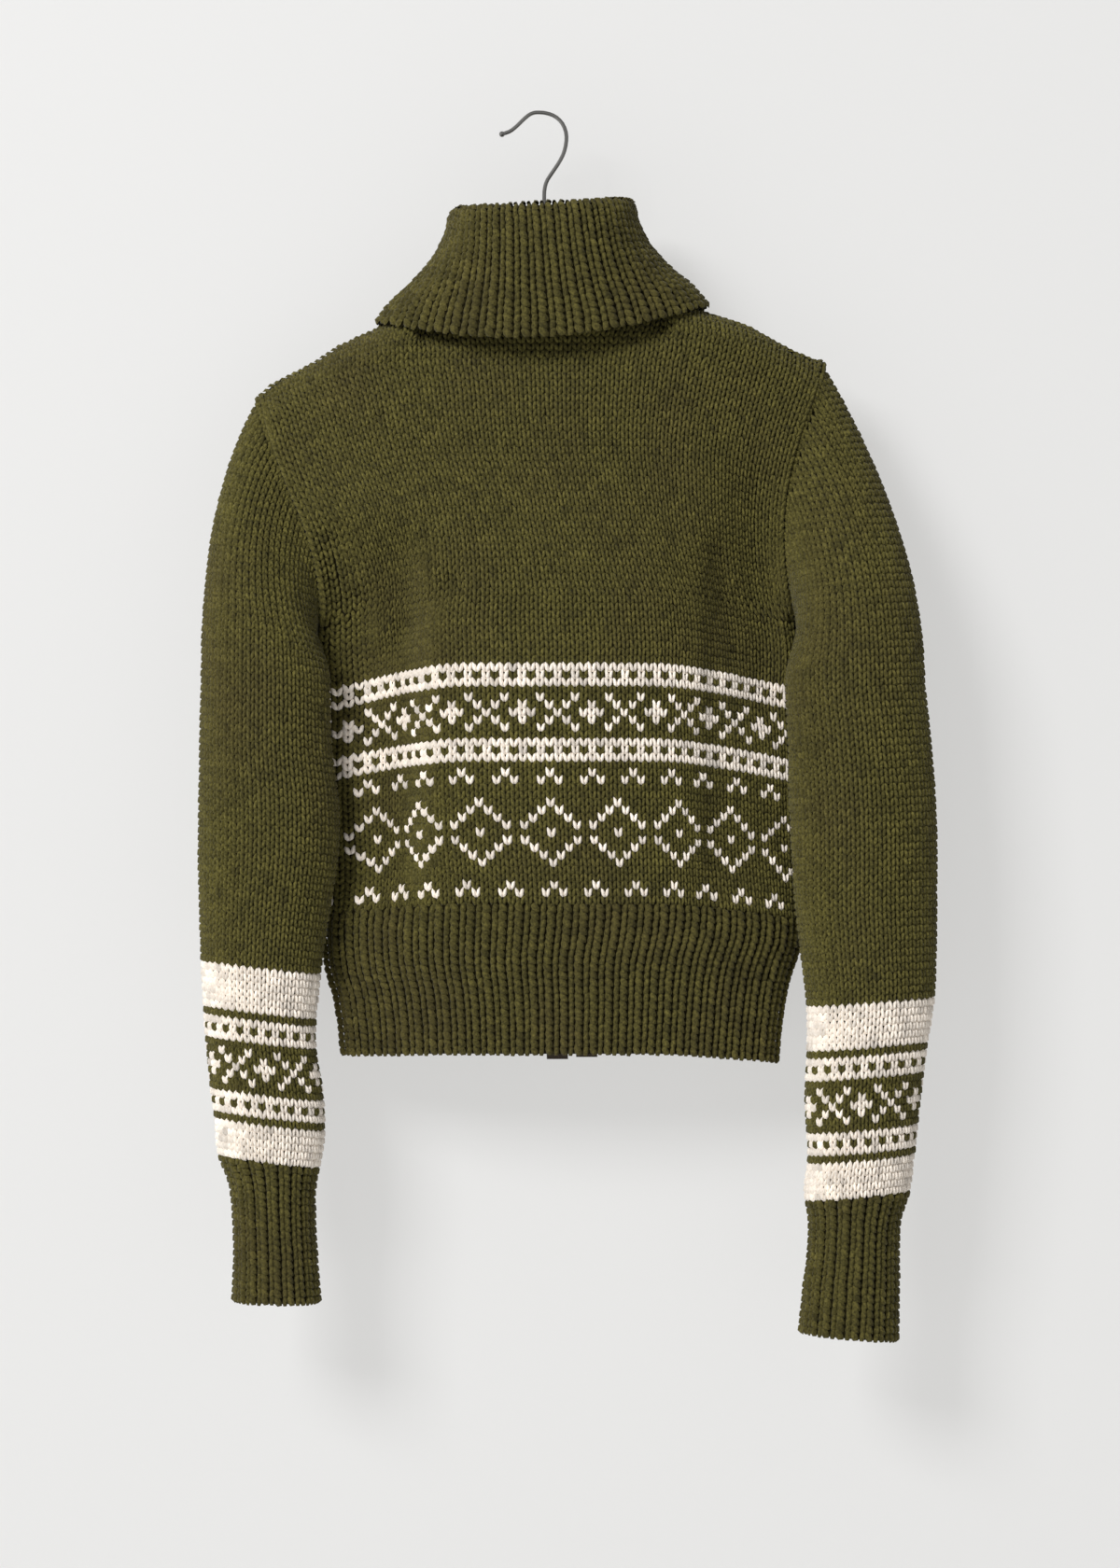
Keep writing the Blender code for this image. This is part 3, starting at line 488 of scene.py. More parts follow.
def collar_ring(at, share):
    """One ring of the collar, at a row of its table or between two, from zip to zip."""
    rows = np.arange(len(COLLAR["width"]))
    width, side, back, back_drop, front, front_drop, square = (
        float(curve(at, rows, values)) for values in COLLAR.values()
    )
    turn = np.linspace(-math.pi, math.pi, 361)
    power = 2 / square
    across = np.sign(np.sin(turn)) * np.abs(np.sin(turn)) ** power
    deep = np.sign(np.cos(turn)) * np.abs(np.cos(turn)) ** power
    x = COLLAR_CENTRE + width * across
    y = -np.where(deep > 0, back, front) * deep
    level = np.where(deep > 0, back_drop, front_drop)
    lower = np.where(deep > 0, np.cos(turn) ** 2, np.abs(np.cos(turn)) ** 3)
    drop = side + (level - side) * lower - COLLAR_TILT * (x - COLLAR_CENTRE)
    ring = np.stack([x, y, -drop], axis=1)
    gap = ZIP_OPENING / np.sum(norm(np.diff(ring, axis=0), axis=1))
    return along(ring, gap + (1 - 2 * gap) * np.asarray(share))


def length_along(points):
    """How far along each column every point lies."""
    steps = norm(np.diff(points, axis=0), axis=2)
    return np.concatenate([0 * steps[:1], np.cumsum(steps, axis=0)])


def unit(vectors):
    return vectors / np.maximum(norm(vectors, axis=-1, keepdims=True), 1e-9)


def surface_normals(points, ring, outward):
    """Normals of a grid of points, all on the side that outward gives for one point of it."""
    across = np.gradient(points, axis=1)
    if ring:
        across = (np.roll(points, -1, axis=1) - np.roll(points, 1, axis=1)) / 2
    normal = unit(np.cross(across, np.gradient(points, axis=0)))
    i, j, way = outward
    return normal * (1 if np.dot(normal[i, j], way) > 0 else -1)


def places(points, normal, measure, on_piece, stitch_width, filled=False):
    """Stitches up each column of a grid that runs from the bottom up: where, how turned, how big.

    A filled column has its rows spread evenly over all of its length.
    """
    across = norm(np.gradient(points, axis=1), axis=2)
    up = np.gradient(points, axis=0)
    stretch = norm(up, axis=2) / np.maximum(np.gradient(measure, axis=0), 1e-6)
    found = []
    for c in range(points.shape[1]):
        count = round(measure[-1, c] / ROW) if filled else int(measure[-1, c] / ROW)
        row = np.arange(count)
        at = (row + 0.5) * (measure[-1, c] / count if filled else ROW)

        def read(values):
            return np.interp(at, measure[:, c], values)

        keep = read(on_piece[:, c].astype(float)) > 0.5
        column = np.column_stack([
            read_line(at, measure[:, c], points[:, c]), read_line(at, measure[:, c], up[:, c]),
            read_line(at, measure[:, c], normal[:, c]), read(across[:, c]) / stitch_width,
            read(stretch[:, c]), row, np.full(count, c),
        ])
        found.append(column[keep])
    found = np.concatenate(found)
    z_axis = unit(found[:, 6:9])
    y_axis = found[:, 3:6]
    y_axis = unit(y_axis - z_axis * np.sum(y_axis * z_axis, axis=1, keepdims=True))
    return {
        "point": found[:, :3], "x": np.cross(y_axis, z_axis), "y": y_axis, "z": z_axis,
        "wide": found[:, 9], "tall": found[:, 10], "row": found[:, 11].astype(int),
        "column": found[:, 12].astype(int),
    }


def charted(chart, row, column, start, shift):
    """1 where a stitch is cream. Rows count up from the piece's lower edge."""
    cream = np.zeros(len(row))
    for k, (r, c) in enumerate(zip(row, column)):
        line = start + len(chart) - 1 - r
        if 0 <= line < len(chart):
            repeat = chart[line]
            moved = c - (PEAK_SHIFT if len(repeat) == len(PEAKS[0]) else shift)
            if len(repeat) == len(DIAMONDS[0]) and line >= DIAMOND_LINE:
                moved += DIAMOND_BACK
            cream[k] = repeat[moved % len(repeat)] == "x"
    return cream


def euler_angles(x_axis, y_axis, z_axis):
    """XYZ Euler angles of the frames with these axes."""
    return np.stack([
        np.arctan2(y_axis[:, 2], z_axis[:, 2]),
        -np.arcsin(np.clip(x_axis[:, 2], -1, 1)),
        np.arctan2(x_axis[:, 1], x_axis[:, 0]),
    ], axis=1)


def link(name, data):
    """A new object of the scene that shows this mesh, light or camera."""
    obj = bpy.data.objects.new(name, data)
    bpy.context.scene.collection.objects.link(obj)
    return obj


def edged_mesh(name, vertices, faces, sharp, material):
    """A smooth piece that keeps the edges that turn more than sharp, in degrees."""
    mesh = bpy.data.meshes.new(name)
    mesh.from_pydata(vertices, [], faces)
    mesh.update()
    mesh.shade_smooth()
    mesh.set_sharp_from_angle(angle=math.radians(sharp))
    mesh.materials.append(material)
    return link(name, mesh)


def stitch_object(label, legs):
    """One knit stitch: two rounded legs of yarn that meet at the foot."""
    points, faces, marks = [], [], []
    ring = len(LEG_SECTION)
    for leg in each(legs):
        top, foot = Vector((leg["top_x"], leg["top_y"])), Vector((leg["foot_x"], leg["foot_y"]))
        way = (foot - top).normalized()
        side = Vector((-way.y, way.x))
        first = len(points)
        for t, broad, high in LEG_STATIONS:
            middle = top.lerp(foot, t)
            for across, lift in LEG_SECTION:
                at = middle + side * across * leg["width"] * broad
                z = lift * leg["height"] * max(high, 0) - LEG_SINK + min(high, 0)
                points.append((at.x * MM, at.y * MM, z * MM))
                marks.append((across + 0.5, t))
        for i in range(len(LEG_STATIONS) - 1):
            for j in range(ring - 1):
                a = first + i * ring + j
                faces.append((a, a + ring, a + ring + 1, a + 1))
    mesh = bpy.data.meshes.new(label)
    mesh.from_pydata(points, [], faces)
    uv = mesh.uv_layers.new(name="UVMap")
    for loop in mesh.loops:
        uv.data[loop.index].uv = marks[loop.vertex_index]
    mesh.update()
    normal = sum((face.normal for face in mesh.polygons), Vector())
    if normal.z < 0:
        mesh.flip_normals()
    mesh.shade_smooth()
    return link(label, mesh)


def stitch_tree():
    """Puts a stitch on each point, turned and sized by the point's own values."""
    tree = bpy.data.node_groups.new("knitting", "GeometryNodeTree")
    sockets = tree.interface
    for name, kind in (
        ("Geometry", "Geometry"), ("Stitch", "Object"), ("Main Yarn", "Material"),
        ("Band Yarn", "Material"),
    ):
        sockets.new_socket(name, in_out="INPUT", socket_type="NodeSocket" + kind)
    sockets.new_socket("Geometry", in_out="OUTPUT", socket_type="NodeSocketGeometry")
    nodes, links = tree.nodes, tree.links
    given = nodes.new("NodeGroupInput")
    result = nodes.new("NodeGroupOutput")
    stitch = nodes.new("GeometryNodeObjectInfo")
    put = nodes.new("GeometryNodeInstanceOnPoints")
    real = nodes.new("GeometryNodeRealizeInstances")
    main = nodes.new("GeometryNodeSetMaterial")
    band = nodes.new("GeometryNodeSetMaterial")
    for name, kind, end, socket in (
        ("turn", "FLOAT_VECTOR", put, "Rotation"), ("size", "FLOAT_VECTOR", put, "Scale"),
        ("cream", "BOOLEAN", band, "Selection"),
    ):
        value = nodes.new("GeometryNodeInputNamedAttribute")
        value.data_type = kind
        value.inputs["Name"].default_value = name
        links.new(value.outputs["Attribute"], end.inputs[socket])
    for start, output, end, socket in (
        (given, "Stitch", stitch, "Object"), (given, "Geometry", put, "Points"),
        (stitch, "Geometry", put, "Instance"), (put, "Instances", real, "Geometry"),
        (real, "Geometry", main, "Geometry"), (given, "Main Yarn", main, "Material"),
        (main, "Geometry", band, "Geometry"), (given, "Band Yarn", band, "Material"),
        (band, "Geometry", result, "Geometry"),
    ):
        links.new(start.outputs[output], end.inputs[socket])
    return tree


def knit(name, laid, cream, sink, deep, seed, tools, stitch="stitch"):
    """Knit stitches as one plain mesh, a little uneven in lean, place, size and tone."""
    random = np.random.default_rng(seed)
    count = len(laid["row"])
    lean = random.normal(0, LEAN_SPREAD, count)[:, None]
    x_axis = unit(laid["x"] + laid["y"] * lean)
    y_axis = unit(laid["y"] - laid["x"] * lean)
    points = laid["point"] - laid["z"] * sink + random.normal(0, PLACE_SPREAD, (count, 3))
    size = np.stack([laid["wide"] * OVERLAP, laid["tall"], np.full(count, deep)], axis=1)
    size = size * random.normal(1, SIZE_SPREAD, (count, 1))
    mesh = bpy.data.meshes.new(name + "_points")
    mesh.from_pydata((points * MM).tolist(), [], [])
    for label, values in (("turn", euler_angles(x_axis, y_axis, laid["z"])), ("size", size)):
        vectors = mesh.attributes.new(label, "FLOAT_VECTOR", "POINT")
        vectors.data.foreach_set("vector", values.ravel())
    mesh.attributes.new("cream", "BOOLEAN", "POINT").data.foreach_set("value", cream > 0.5)
    tone = random.normal(1, TONE_SPREAD, count)
    mesh.attributes.new("tone", "FLOAT", "POINT").data.foreach_set("value", tone)
    holder = link(name + "_points", mesh)
    modifier = holder.modifiers.new("knitting", "NODES")
    modifier.node_group = tools["tree"]
    inputs = {
        item.name: item.identifier for item in tools["tree"].interface.items_tree
        if item.in_out == "INPUT"
    }
    modifier[inputs["Stitch"]] = tools[stitch]
    modifier[inputs["Main Yarn"]] = tools[stitch + "_yarn"]
    modifier[inputs["Band Yarn"]] = tools["cream"]
    bpy.context.view_layer.update()
    evaluated = holder.evaluated_get(bpy.context.evaluated_depsgraph_get())
    plain = bpy.data.meshes.new_from_object(evaluated)
    plain.name = name
    bpy.data.objects.remove(holder, do_unlink=True)
    plain.shade_smooth()
    return link(name, plain)


def shell(name, points, normal, ring, inset, thick, material):
    """A thin closed sheet of knitting under the stitches."""
    outer = points - normal * inset
    inner = points - normal * (inset + thick)
    rows, columns = points.shape[:2]
    vertices = np.concatenate([outer.reshape(-1, 3), inner.reshape(-1, 3)]) * MM
    index = np.arange(rows * columns).reshape(rows, columns)
    far = index + rows * columns
    wrap = columns if ring else columns - 1
    faces = []
    for i in range(rows - 1):
        for j in range(wrap):
            k = (j + 1) % columns
            faces.append((index[i, j], index[i, k], index[i + 1, k], index[i + 1, j]))
            faces.append((far[i + 1, j], far[i + 1, k], far[i, k], far[i, j]))
    for j in range(wrap):
        k = (j + 1) % columns
        faces.append((index[0, k], index[0, j], far[0, j], far[0, k]))
        faces.append((index[-1, j], index[-1, k], far[-1, k], far[-1, j]))
    if not ring:
        for i in range(rows - 1):
            faces.append((index[i, 0], index[i + 1, 0], far[i + 1, 0], far[i, 0]))
            faces.append((index[i + 1, -1], index[i, -1], far[i, -1], far[i + 1, -1]))
    across = points[0, 1] - points[0, 0]
    down = points[1, 0] - points[0, 0]
    if np.dot(np.cross(across, down), normal[0, 0]) < 0:
        faces = [face[::-1] for face in faces]
    faces = [[int(k) for k in face] for face in faces]
    return edged_mesh(name, vertices.tolist(), faces, 60, material)


def cloth_shell(name, points, normal, ring, tools, inset=CLOTH_INSET, thick=CLOTH):
    """The shell behind the stitches of a piece, coloured in painted shade."""
    return shell(name + "_cloth", points, normal, ring, inset, thick - inset, tools["shade"])


def rib_shell(name, points, normal, ring, tools):
    return cloth_shell(name, points, normal, ring, tools, RIB_INSET, RIB_CLOTH)


def plain_knit(name, laid, cream, seed, tools):
    """The plain knitting of a piece, in green and cream."""
    return knit(name + "_stitches", laid, cream, STITCH_SINK, STITCH_DEEP, seed, tools)


def rib_knit(name, points, normal, width, seed, tools):
    """The ribbing of a piece: a filled column of stitches up each rib."""
    laid = places(points, normal, length_along(points), np.ones(points.shape[:2]), width, True)
    cream = 0 * laid["row"]
    return knit(name + "_stitches", laid, cream, RIB_SINK, RIB_DEEP, seed, tools, "rib")


def seam(name, line, outward, wide, sink, seed, tools):
    """A line of stitches over a strip of rolled edge, where two pieces are sewn together."""
    outward = unit(np.broadcast_to(outward, line.shape))
    tangent = unit(np.gradient(line, axis=0))
    across = unit(np.cross(tangent, outward))
    steps = np.linspace(-1, 1, 5)[None, :, None]
    roll = line[:, None] + outward[:, None] * (SEAM_RISE - ROLL_FALL * steps ** 2)
    roll = roll + across[:, None] * steps * ROLL_HALF
    normal = np.broadcast_to(outward[:, None], roll.shape)
    strip = shell(
        name + "_roll", roll, normal, False, ROLL_INSET, ROLL_THICK, tools["stitch_yarn"]
    )
    length = line_length(line)
    at = np.arange(SEAM_STITCH / 2, length[-1], SEAM_STITCH)
    z_axis, y_axis = unit(read_line(at, length, outward)), read_line(at, length, tangent)
    y_axis = unit(y_axis - z_axis * np.sum(y_axis * z_axis, axis=1, keepdims=True))
    laid = {
        "point": read_line(at, length, line) + z_axis * SEAM_RISE,
        "x": np.cross(y_axis, z_axis), "y": y_axis, "z": z_axis,
        "wide": np.full(len(at), wide), "tall": np.full(len(at), SEAM_TALL),
        "row": np.arange(len(at)), "column": 0 * at,
    }
    return [strip, knit(name, laid, 0 * at, sink, 1.0, seed, tools)]


def shoulder_seams(tools):
    """Seams along both shoulders, from the neck to the tips."""
    s = np.linspace(-1, 1, 500)
    drop = top_drop(s, False)
    x = body_x(s, drop)
    line = np.stack([x, 0 * x, -drop], axis=1)
    pieces = []
    for word, chosen in (("left", x < NECK_LEFT), ("right", x > NECK_RIGHT)):
        pieces += seam(f"shoulder_seam_{word}", line[chosen], (0, -0.1, 1), 1.1, 1.7, 61, tools)
    return pieces


def declare(obj, node, stitches):
    """Hides the CAD node that a sheet of knitting stands for, and attaches the sheet and its
    stitches to the garment.
    """
    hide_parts(node)
    for piece in [obj] + stitches:
        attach(piece, "garment")


def stitched_panel(side, count):
    """The stitches of the back or a front, in rows that sink a little towards the sides."""
    front = side != 0
    middle = np.linspace(RIB_TOP, 110.0, 260)
    shares = np.tile((np.arange(count) + 0.5) / count, (len(middle), 1))
    if side == 0:
        shares = shares + ease((middle - 150) / 250)[:, None] * (back_columns() - shares)
    grid = panel_grid(side, row_drop, middle, shares)
    points, s, drop = grid[..., :3], grid[..., 3], grid[..., 4]
    share = ease((middle - 215) / 30)[:, None]
    level_step = np.abs(np.gradient(middle))[:, None]
    true_step = norm(np.gradient(points, axis=0), axis=2)
    measure = np.cumsum(share * level_step + (1 - share) * true_step, axis=0)
    measure -= measure[:1]
    on_piece = drop - top_drop(s, front) > 0.5
    way = (0, 1 if front else -1, 0)
    normal = surface_normals(points, False, (0, count // 2, way))
    return places(points, normal, measure, on_piece, STITCH)


def body_panels(tools):
    """The back and the fronts, with the bands and the shoulder seams."""
    for name, side, count, flat, area in (
        ("back", 0, BACK_STITCHES, (0.44, 0.43), 0.155),
        ("front_left", -1, FRONT_STITCHES, (0.22, 0.42), 0.075),
        ("front_right", 1, FRONT_STITCHES, (0.22, 0.43), 0.075),
    ):
        front = side != 0

        def level(s, v):
            return top_drop(s, front) * (1 - v) + row_drop(s, RIB_TOP) * v

        shares = np.tile(np.linspace(0, 1, count + 1), (70, 1))
        grid = panel_grid(side, level, np.linspace(0, 1, 70) ** 1.3, shares)[..., :3]
        normal = surface_normals(grid, False, (40, count // 2, (0, 1 if front else -1, 0)))
        cloth = cloth_shell(name, grid, normal, False, tools)
        laid = stitched_panel(side, count)
        shift = BODY_CHART_SHIFT if side == 0 else 0
        cream = charted(BODY_CHART, laid["row"], laid["column"], BODY_CHART_START, shift)
        stitches = plain_knit(name, laid, cream, 11 + side, tools)
        seams = shoulder_seams(tools) if side == 0 else []
        declare(cloth, name, [stitches] + seams)


def hem_ribs(tools):
    """The ribbing under the back and the fronts."""
    for name, side, ribs, flat in (
        ("back_hem_rib", 0, BACK_RIBS, (0.36, 0.105)),
        ("front_hem_rib_left", -1, FRONT_RIBS, (0.17, 0.105)),
        ("front_hem_rib_right", 1, FRONT_RIBS, (0.16, 0.105)),
    ):
        way = (0, 1 if side else -1, 0)

        def level(s, v):
            return row_drop(s, HEM) * (1 - v) + (row_drop(s, RIB_TOP) + SEAM) * v

        shares = np.tile(np.linspace(0, 1, ribs * 3 + 1), (14, 1))
        grid = panel_grid(side, level, np.linspace(0, 1, 14), shares)
        normal = surface_normals(grid[..., :3], False, (5, ribs, way))
        cloth = rib_shell(name, grid[..., :3], normal, False, tools)
        shares = np.tile((np.arange(ribs) + 0.5) / ribs, (30, 1))
        points = panel_grid(side, level, np.linspace(0, 1, 30), shares)[..., :3]
        normal = surface_normals(points, False, (15, ribs // 2, way))
        stitches = rib_knit(name, points, normal, RIB_STITCH, 21 + side, tools)
        declare(cloth, name, [stitches])


def sleeve_rings(side, angle, cap_steps, steps):
    """Rings of a sleeve from its cuff up to the armhole."""
    foot = cuff_level(side, 0, angle)
    rings = [
        sleeve_ring(side, angle, foot + (SLEEVE_JOIN - foot) * v)
        for v in np.linspace(0, 1, steps)[:-1]
    ]
    return np.array(rings + [sleeve_cap(side, angle, v) for v in np.linspace(1, 0, cap_steps)])


def sleeve_places(side):
    """Stitches in columns at equal distances round the sleeve, more of them where it is wider."""
    angle = np.linspace(0, 2 * math.pi, 241)
    rings = sleeve_rings(side, angle, 60, 110)
    half_count = SLEEVE_STITCHES // 2
    numbers = np.arange(-half_count - SLEEVE_EXTRA, half_count + SLEEVE_EXTRA) + 0.5
    points, on_piece = [], []
    for ring in rings:
        length = line_length(ring)
        half = length[-1] / 2
        pitch = min(STITCH, half / half_count)
        at = numbers * pitch
        points.append(read_line(at % (2 * half), length, ring))
        on_piece.append(np.abs(at) < half)
    points = np.array(points)
    normal = surface_normals(points, False, (50, half_count + SLEEVE_EXTRA, (side, 0, 0)))
    return places(points, normal, length_along(points), np.array(on_piece), STITCH)


def sleeves(tools):
    """Both sleeves with their bands, armhole seams and ribbed cuffs."""
    for side, word in ((-1, "left"), (1, "right")):
        angle = np.linspace(0, 2 * math.pi, 64, endpoint=False)
        rings = sleeve_rings(side, angle, 24, 50)
        normal = surface_normals(rings, True, (30, 0, (side, 0, 0)))
        cloth = cloth_shell(f"sleeve_{word}", rings, normal, True, tools)
        laid = sleeve_places(side)
        cream = charted(SLEEVE_CHART, laid["row"], laid["column"], 0, SLEEVE_CHART_SHIFT)
        stitches = plain_knit(f"sleeve_{word}", laid, cream, 31 + side, tools)
        angle = np.linspace(0, 2 * math.pi, 140)
        edge = armhole_ring(side, angle)
        half = (ARMHOLE[side][1] - ARMHOLE[side][0]) / 2
        outward = np.stack(
            [side * 0.012 + 0 * angle, -np.sin(angle) / ARMHOLE_DEPTH, np.cos(angle) / half], axis=1
        )
        seams = seam(f"armhole_seam_{word}", edge, outward, 1.15, 1.0, 71 + side, tools)
        declare(cloth, f"sleeve_{word}", [stitches] + seams)

        columns = np.linspace(0, 2 * math.pi, CUFF_RIBS * 3, endpoint=False)
        levels = np.linspace(1, 0, 30)[:, None]

        def cuff(angle):
            top, foot = cuff_level(side, 0, angle) + SEAM, cuff_level(side, 1, angle)
            drops = top + (foot - top) * levels
            return np.array([sleeve_ring(side, angle, drop) for drop in drops])

        rings = cuff(columns)
        normal = surface_normals(rings, True, (10, 0, (side, 0, 0)))
        cloth = rib_shell(f"cuff_{word}", rings, normal, True, tools)
        centres = (np.arange(CUFF_RIBS) + 0.5) * 2 * math.pi / CUFF_RIBS
        points = cuff(centres)
        normal = surface_normals(points, True, (10, 0, (side, 0, 0)))
        stitches = rib_knit(f"cuff_{word}", points, normal, CUFF_STITCH, 41 + side, tools)
        declare(cloth, f"cuff_{word}", [stitches])


def collar(tools):
    """The turned-down collar, whose ribs run over the fold."""
    last = len(COLLAR["width"]) - 1
    share = np.linspace(0, 1, COLLAR_RIBS * 3 + 1)
    grid = np.array([collar_ring(at, share) for at in np.linspace(last, 0, 60)])
    centre = len(share) // 2
    normal = surface_normals(grid, False, (3, centre, (0, -1, 0)))
    cloth = rib_shell("collar", grid, normal, False, tools)
    centres = (np.arange(COLLAR_RIBS) + 0.5) / COLLAR_RIBS
    lean = COLLAR_LEAN * np.sin(math.pi * centres)
    points = np.array([
        collar_ring(at, centres + lean * ease((at - 5) / 6)) for at in np.linspace(last, 0, 90)
    ])
    normal = surface_normals(points, False, (3, COLLAR_RIBS // 2, (0, -1, 0)))
    stitches = rib_knit("collar", points, normal, RIB_STITCH, 51, tools)
    declare(cloth, "collar", [stitches])


def front_face(drop):
    """The outer face of the fronts beside the zip."""
    return float(body_point(np.array(zip_s(drop, ZIP_OPENING)), np.array(drop), True)[1])


def zip_tapes(material):
    """The woven tapes behind the fronts, whose tails show under the hem."""
    inner = CHAIN_HALF + SEAM
    depth = RIB_CLOTH + SEAM
    for word, left, right, tail in (
        ("left", -inner - TAPE_WIDTH, -inner, 5.0), ("right", inner, inner + TAPE_WIDTH, 3.5),
    ):
        drops = np.linspace(ZIP_TOP, ZIP_BOTTOM + tail, 60)
        grid = np.array([
            [
                (zip_x(drop) + x, front_face(drop) - depth, -drop)
                for x in np.linspace(left, right, 6)
            ]
            for drop in drops
        ])
        normal = surface_normals(grid, False, (5, 3, (0, 1, 0)))
        tape = shell(f"zip_tape_{word}_cloth", grid, normal, False, 0.0, TAPE_THICK, material)
        declare(tape, f"zip_tape_{word}", [])


def zip_teeth(material):
    """Closed teeth, turn about from the left and the right tape."""
    vertices, faces = [], []
    half_tall, half_thick = 0.72, CHAIN_THICK / 2
    # Sections of a tooth from its root to its head: reach, height and thickness.
    sections = ((CHAIN_HALF, 0.7, 0.8), (1.2, 1.0, 1.0), (-0.9, 1.0, 0.95), (-1.5, 0.6, 0.6))
    for k, drop in enumerate(np.arange(CHAIN_START + 1.5, CHAIN_END - 1, TOOTH_PITCH / 2)):
        side = 1 if k % 2 else -1
        x, y = zip_x(drop), front_face(drop) - RIB_CLOTH - SEAM - TAPE_THICK / 2
        first = len(vertices)
        for reach, tall, thick in sections:
            for up, out in ((-1, -1), (-1, 1), (1, 1), (1, -1)):
                vertices.append((
                    (x + side * reach) * MM, (y + out * half_thick * thick) * MM,
                    (-drop + up * half_tall * tall) * MM,
                ))
        for ring in range(3):
            for j in range(4):
                a, b = first + ring * 4 + j, first + ring * 4 + (j + 1) % 4
                face = (a, b, b + 4, a + 4)
                faces.append(face if side > 0 else face[::-1])
        ends = (tuple(first + j for j in (3, 2, 1, 0)), tuple(first + 12 + j for j in range(4)))
        faces.extend(ends if side > 0 else [end[::-1] for end in ends])
    teeth = edged_mesh("zip_teeth", vertices, faces, 40, material)
    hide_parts("zip_chain")
    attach(teeth, "garment")


def new_material(name, roughness, metallic=0.0):
    """A material with its nodes, its links and its shader."""
    material = bpy.data.materials.new(name)
    material.use_nodes = True
    nodes, links = material.node_tree.nodes, material.node_tree.links
    shader = nodes["Principled BSDF"]
    shader.inputs["Roughness"].default_value = roughness
    shader.inputs["Metallic"].default_value = metallic
    return material, nodes, links, shader


def noise(nodes, links, scale, detail, stretch=(1, 1, 1)):
    """Noise in the object's own space, whose unit is a metre."""
    place = nodes.new("ShaderNodeTexCoord")
    mapping = nodes.new("ShaderNodeMapping")
    mapping.inputs["Scale"].default_value = stretch
    texture = nodes.new("ShaderNodeTexNoise")
    texture.inputs["Scale"].default_value = scale
    texture.inputs["Detail"].default_value = detail
    links.new(place.outputs["Object"], mapping.inputs["Vector"])
    links.new(mapping.outputs["Vector"], texture.inputs["Vector"])
    return texture.outputs["Fac"]


def ramp(nodes, links, factor, dark, light, low=0.3, high=0.7):
    blend = nodes.new("ShaderNodeValToRGB")
    blend.color_ramp.elements[0].position = low
    blend.color_ramp.elements[0].color = (*dark, 1)
    blend.color_ramp.elements[1].position = high
    blend.color_ramp.elements[1].color = (*light, 1)
    links.new(factor, blend.inputs["Fac"])
    return blend.outputs["Color"]


def bump(nodes, links, shader, height, strength, distance):
    node = nodes.new("ShaderNodeBump")
    node.inputs["Strength"].default_value = strength
    node.inputs["Distance"].default_value = distance
    links.new(height, node.inputs["Height"])
    links.new(node.outputs["Normal"], shader.inputs["Normal"])


def yarn(name, dark, light, sheen, brown):
    """Woollen yarn: fibres in two close shades, a soft sheen and a dye that turns to brown."""
    material, nodes, links, shader = new_material(name, 0.85)
    colour = ramp(nodes, links, noise(nodes, links, 620, 3), dark, light)
    if brown:
        dye = nodes.new("ShaderNodeMix")
        dye.data_type = "RGBA"
        patches = noise(nodes, links, 14, 4, (1, 1, 0.6))
        amount = ramp(nodes, links, patches, (0, 0, 0), (brown, brown, brown), 0.45, 0.75)
        links.new(amount, dye.inputs["Factor"])
        links.new(colour, dye.inputs["A"])
        dye.inputs["B"].default_value = (*BROWN_DYE, 1)
        colour = dye.outputs["Result"]
    tone = nodes.new("ShaderNodeAttribute")
    tone.attribute_name = "tone"
    mix = nodes.new("ShaderNodeMix")
    mix.data_type = "RGBA"
    mix.blend_type = "MULTIPLY"
    mix.inputs["Factor"].default_value = 1.0
    links.new(colour, mix.inputs["A"])
    links.new(tone.outputs["Fac"], mix.inputs["B"])
    links.new(mix.outputs["Result"], shader.inputs["Base Color"])
    shader.inputs["Sheen Weight"].default_value = sheen
    shader.inputs["Sheen Roughness"].default_value = 0.45
    shader.inputs["Specular IOR Level"].default_value = 0.15
    bump(nodes, links, shader, noise(nodes, links, 1600, 4), 0.5, 0.0006)
    return material


def shade_cloth():
    """The knitting behind the stitches, painted far darker than its yarn as shade, because it lies
    deep.
    """
    material, nodes, links, shader = new_material("knitting_behind_painted_shade", 0.95)
    colour = ramp(nodes, links, noise(nodes, links, 500, 3), *PAINTED_SHADE_BEHIND)
    links.new(colour, shader.inputs["Base Color"])
    shader.inputs["Specular IOR Level"].default_value = 0.1
    bump(nodes, links, shader, noise(nodes, links, 320, 2), 0.8, 0.002)
    return material


def tape_material():
    material, nodes, links, shader = new_material("woven_tape", 0.8)
    colour = ramp(nodes, links, noise(nodes, links, 1500, 2), *TAPE)
    links.new(colour, shader.inputs["Base Color"])
    bump(nodes, links, shader, noise(nodes, links, 1200, 1, (1, 1, 0.3)), 0.6, 0.0005)
    return material


def metal(name, colour, roughness):
    material, nodes, links, shader = new_material(name, roughness, 1.0)
    shader.inputs["Base Color"].default_value = (*colour, 1)
    bump(nodes, links, shader, noise(nodes, links, 900, 3, (1, 1, 0.15)), 0.08, 0.0003)
    return material


def wood():
    material, nodes, links, shader = new_material("hanger_wood", 0.42)
    grain = noise(nodes, links, 160, 5, (0.12, 1, 1))
    links.new(ramp(nodes, links, grain, *WOOD), shader.inputs["Base Color"])
    bump(nodes, links, shader, grain, 0.15, 0.0005)
    return material


def dress_hard_parts(frame):
    """Gives the CAD pieces that keep their own shape their finish, and hands back the brass."""
    steel = metal("bright_steel", STEEL, 0.33)
    brass = metal("aged_brass", BRASS, 0.38)
    for node, material in (
        ("hanger_hook", steel), ("hanger_arms", wood()), ("zip_slider", brass), ("zip_pull", brass),
        ("zip_bottom_stop", brass),
    ):
        for slot in frame["nodes"][node].material_slots:
            slot.material = material
    return brass


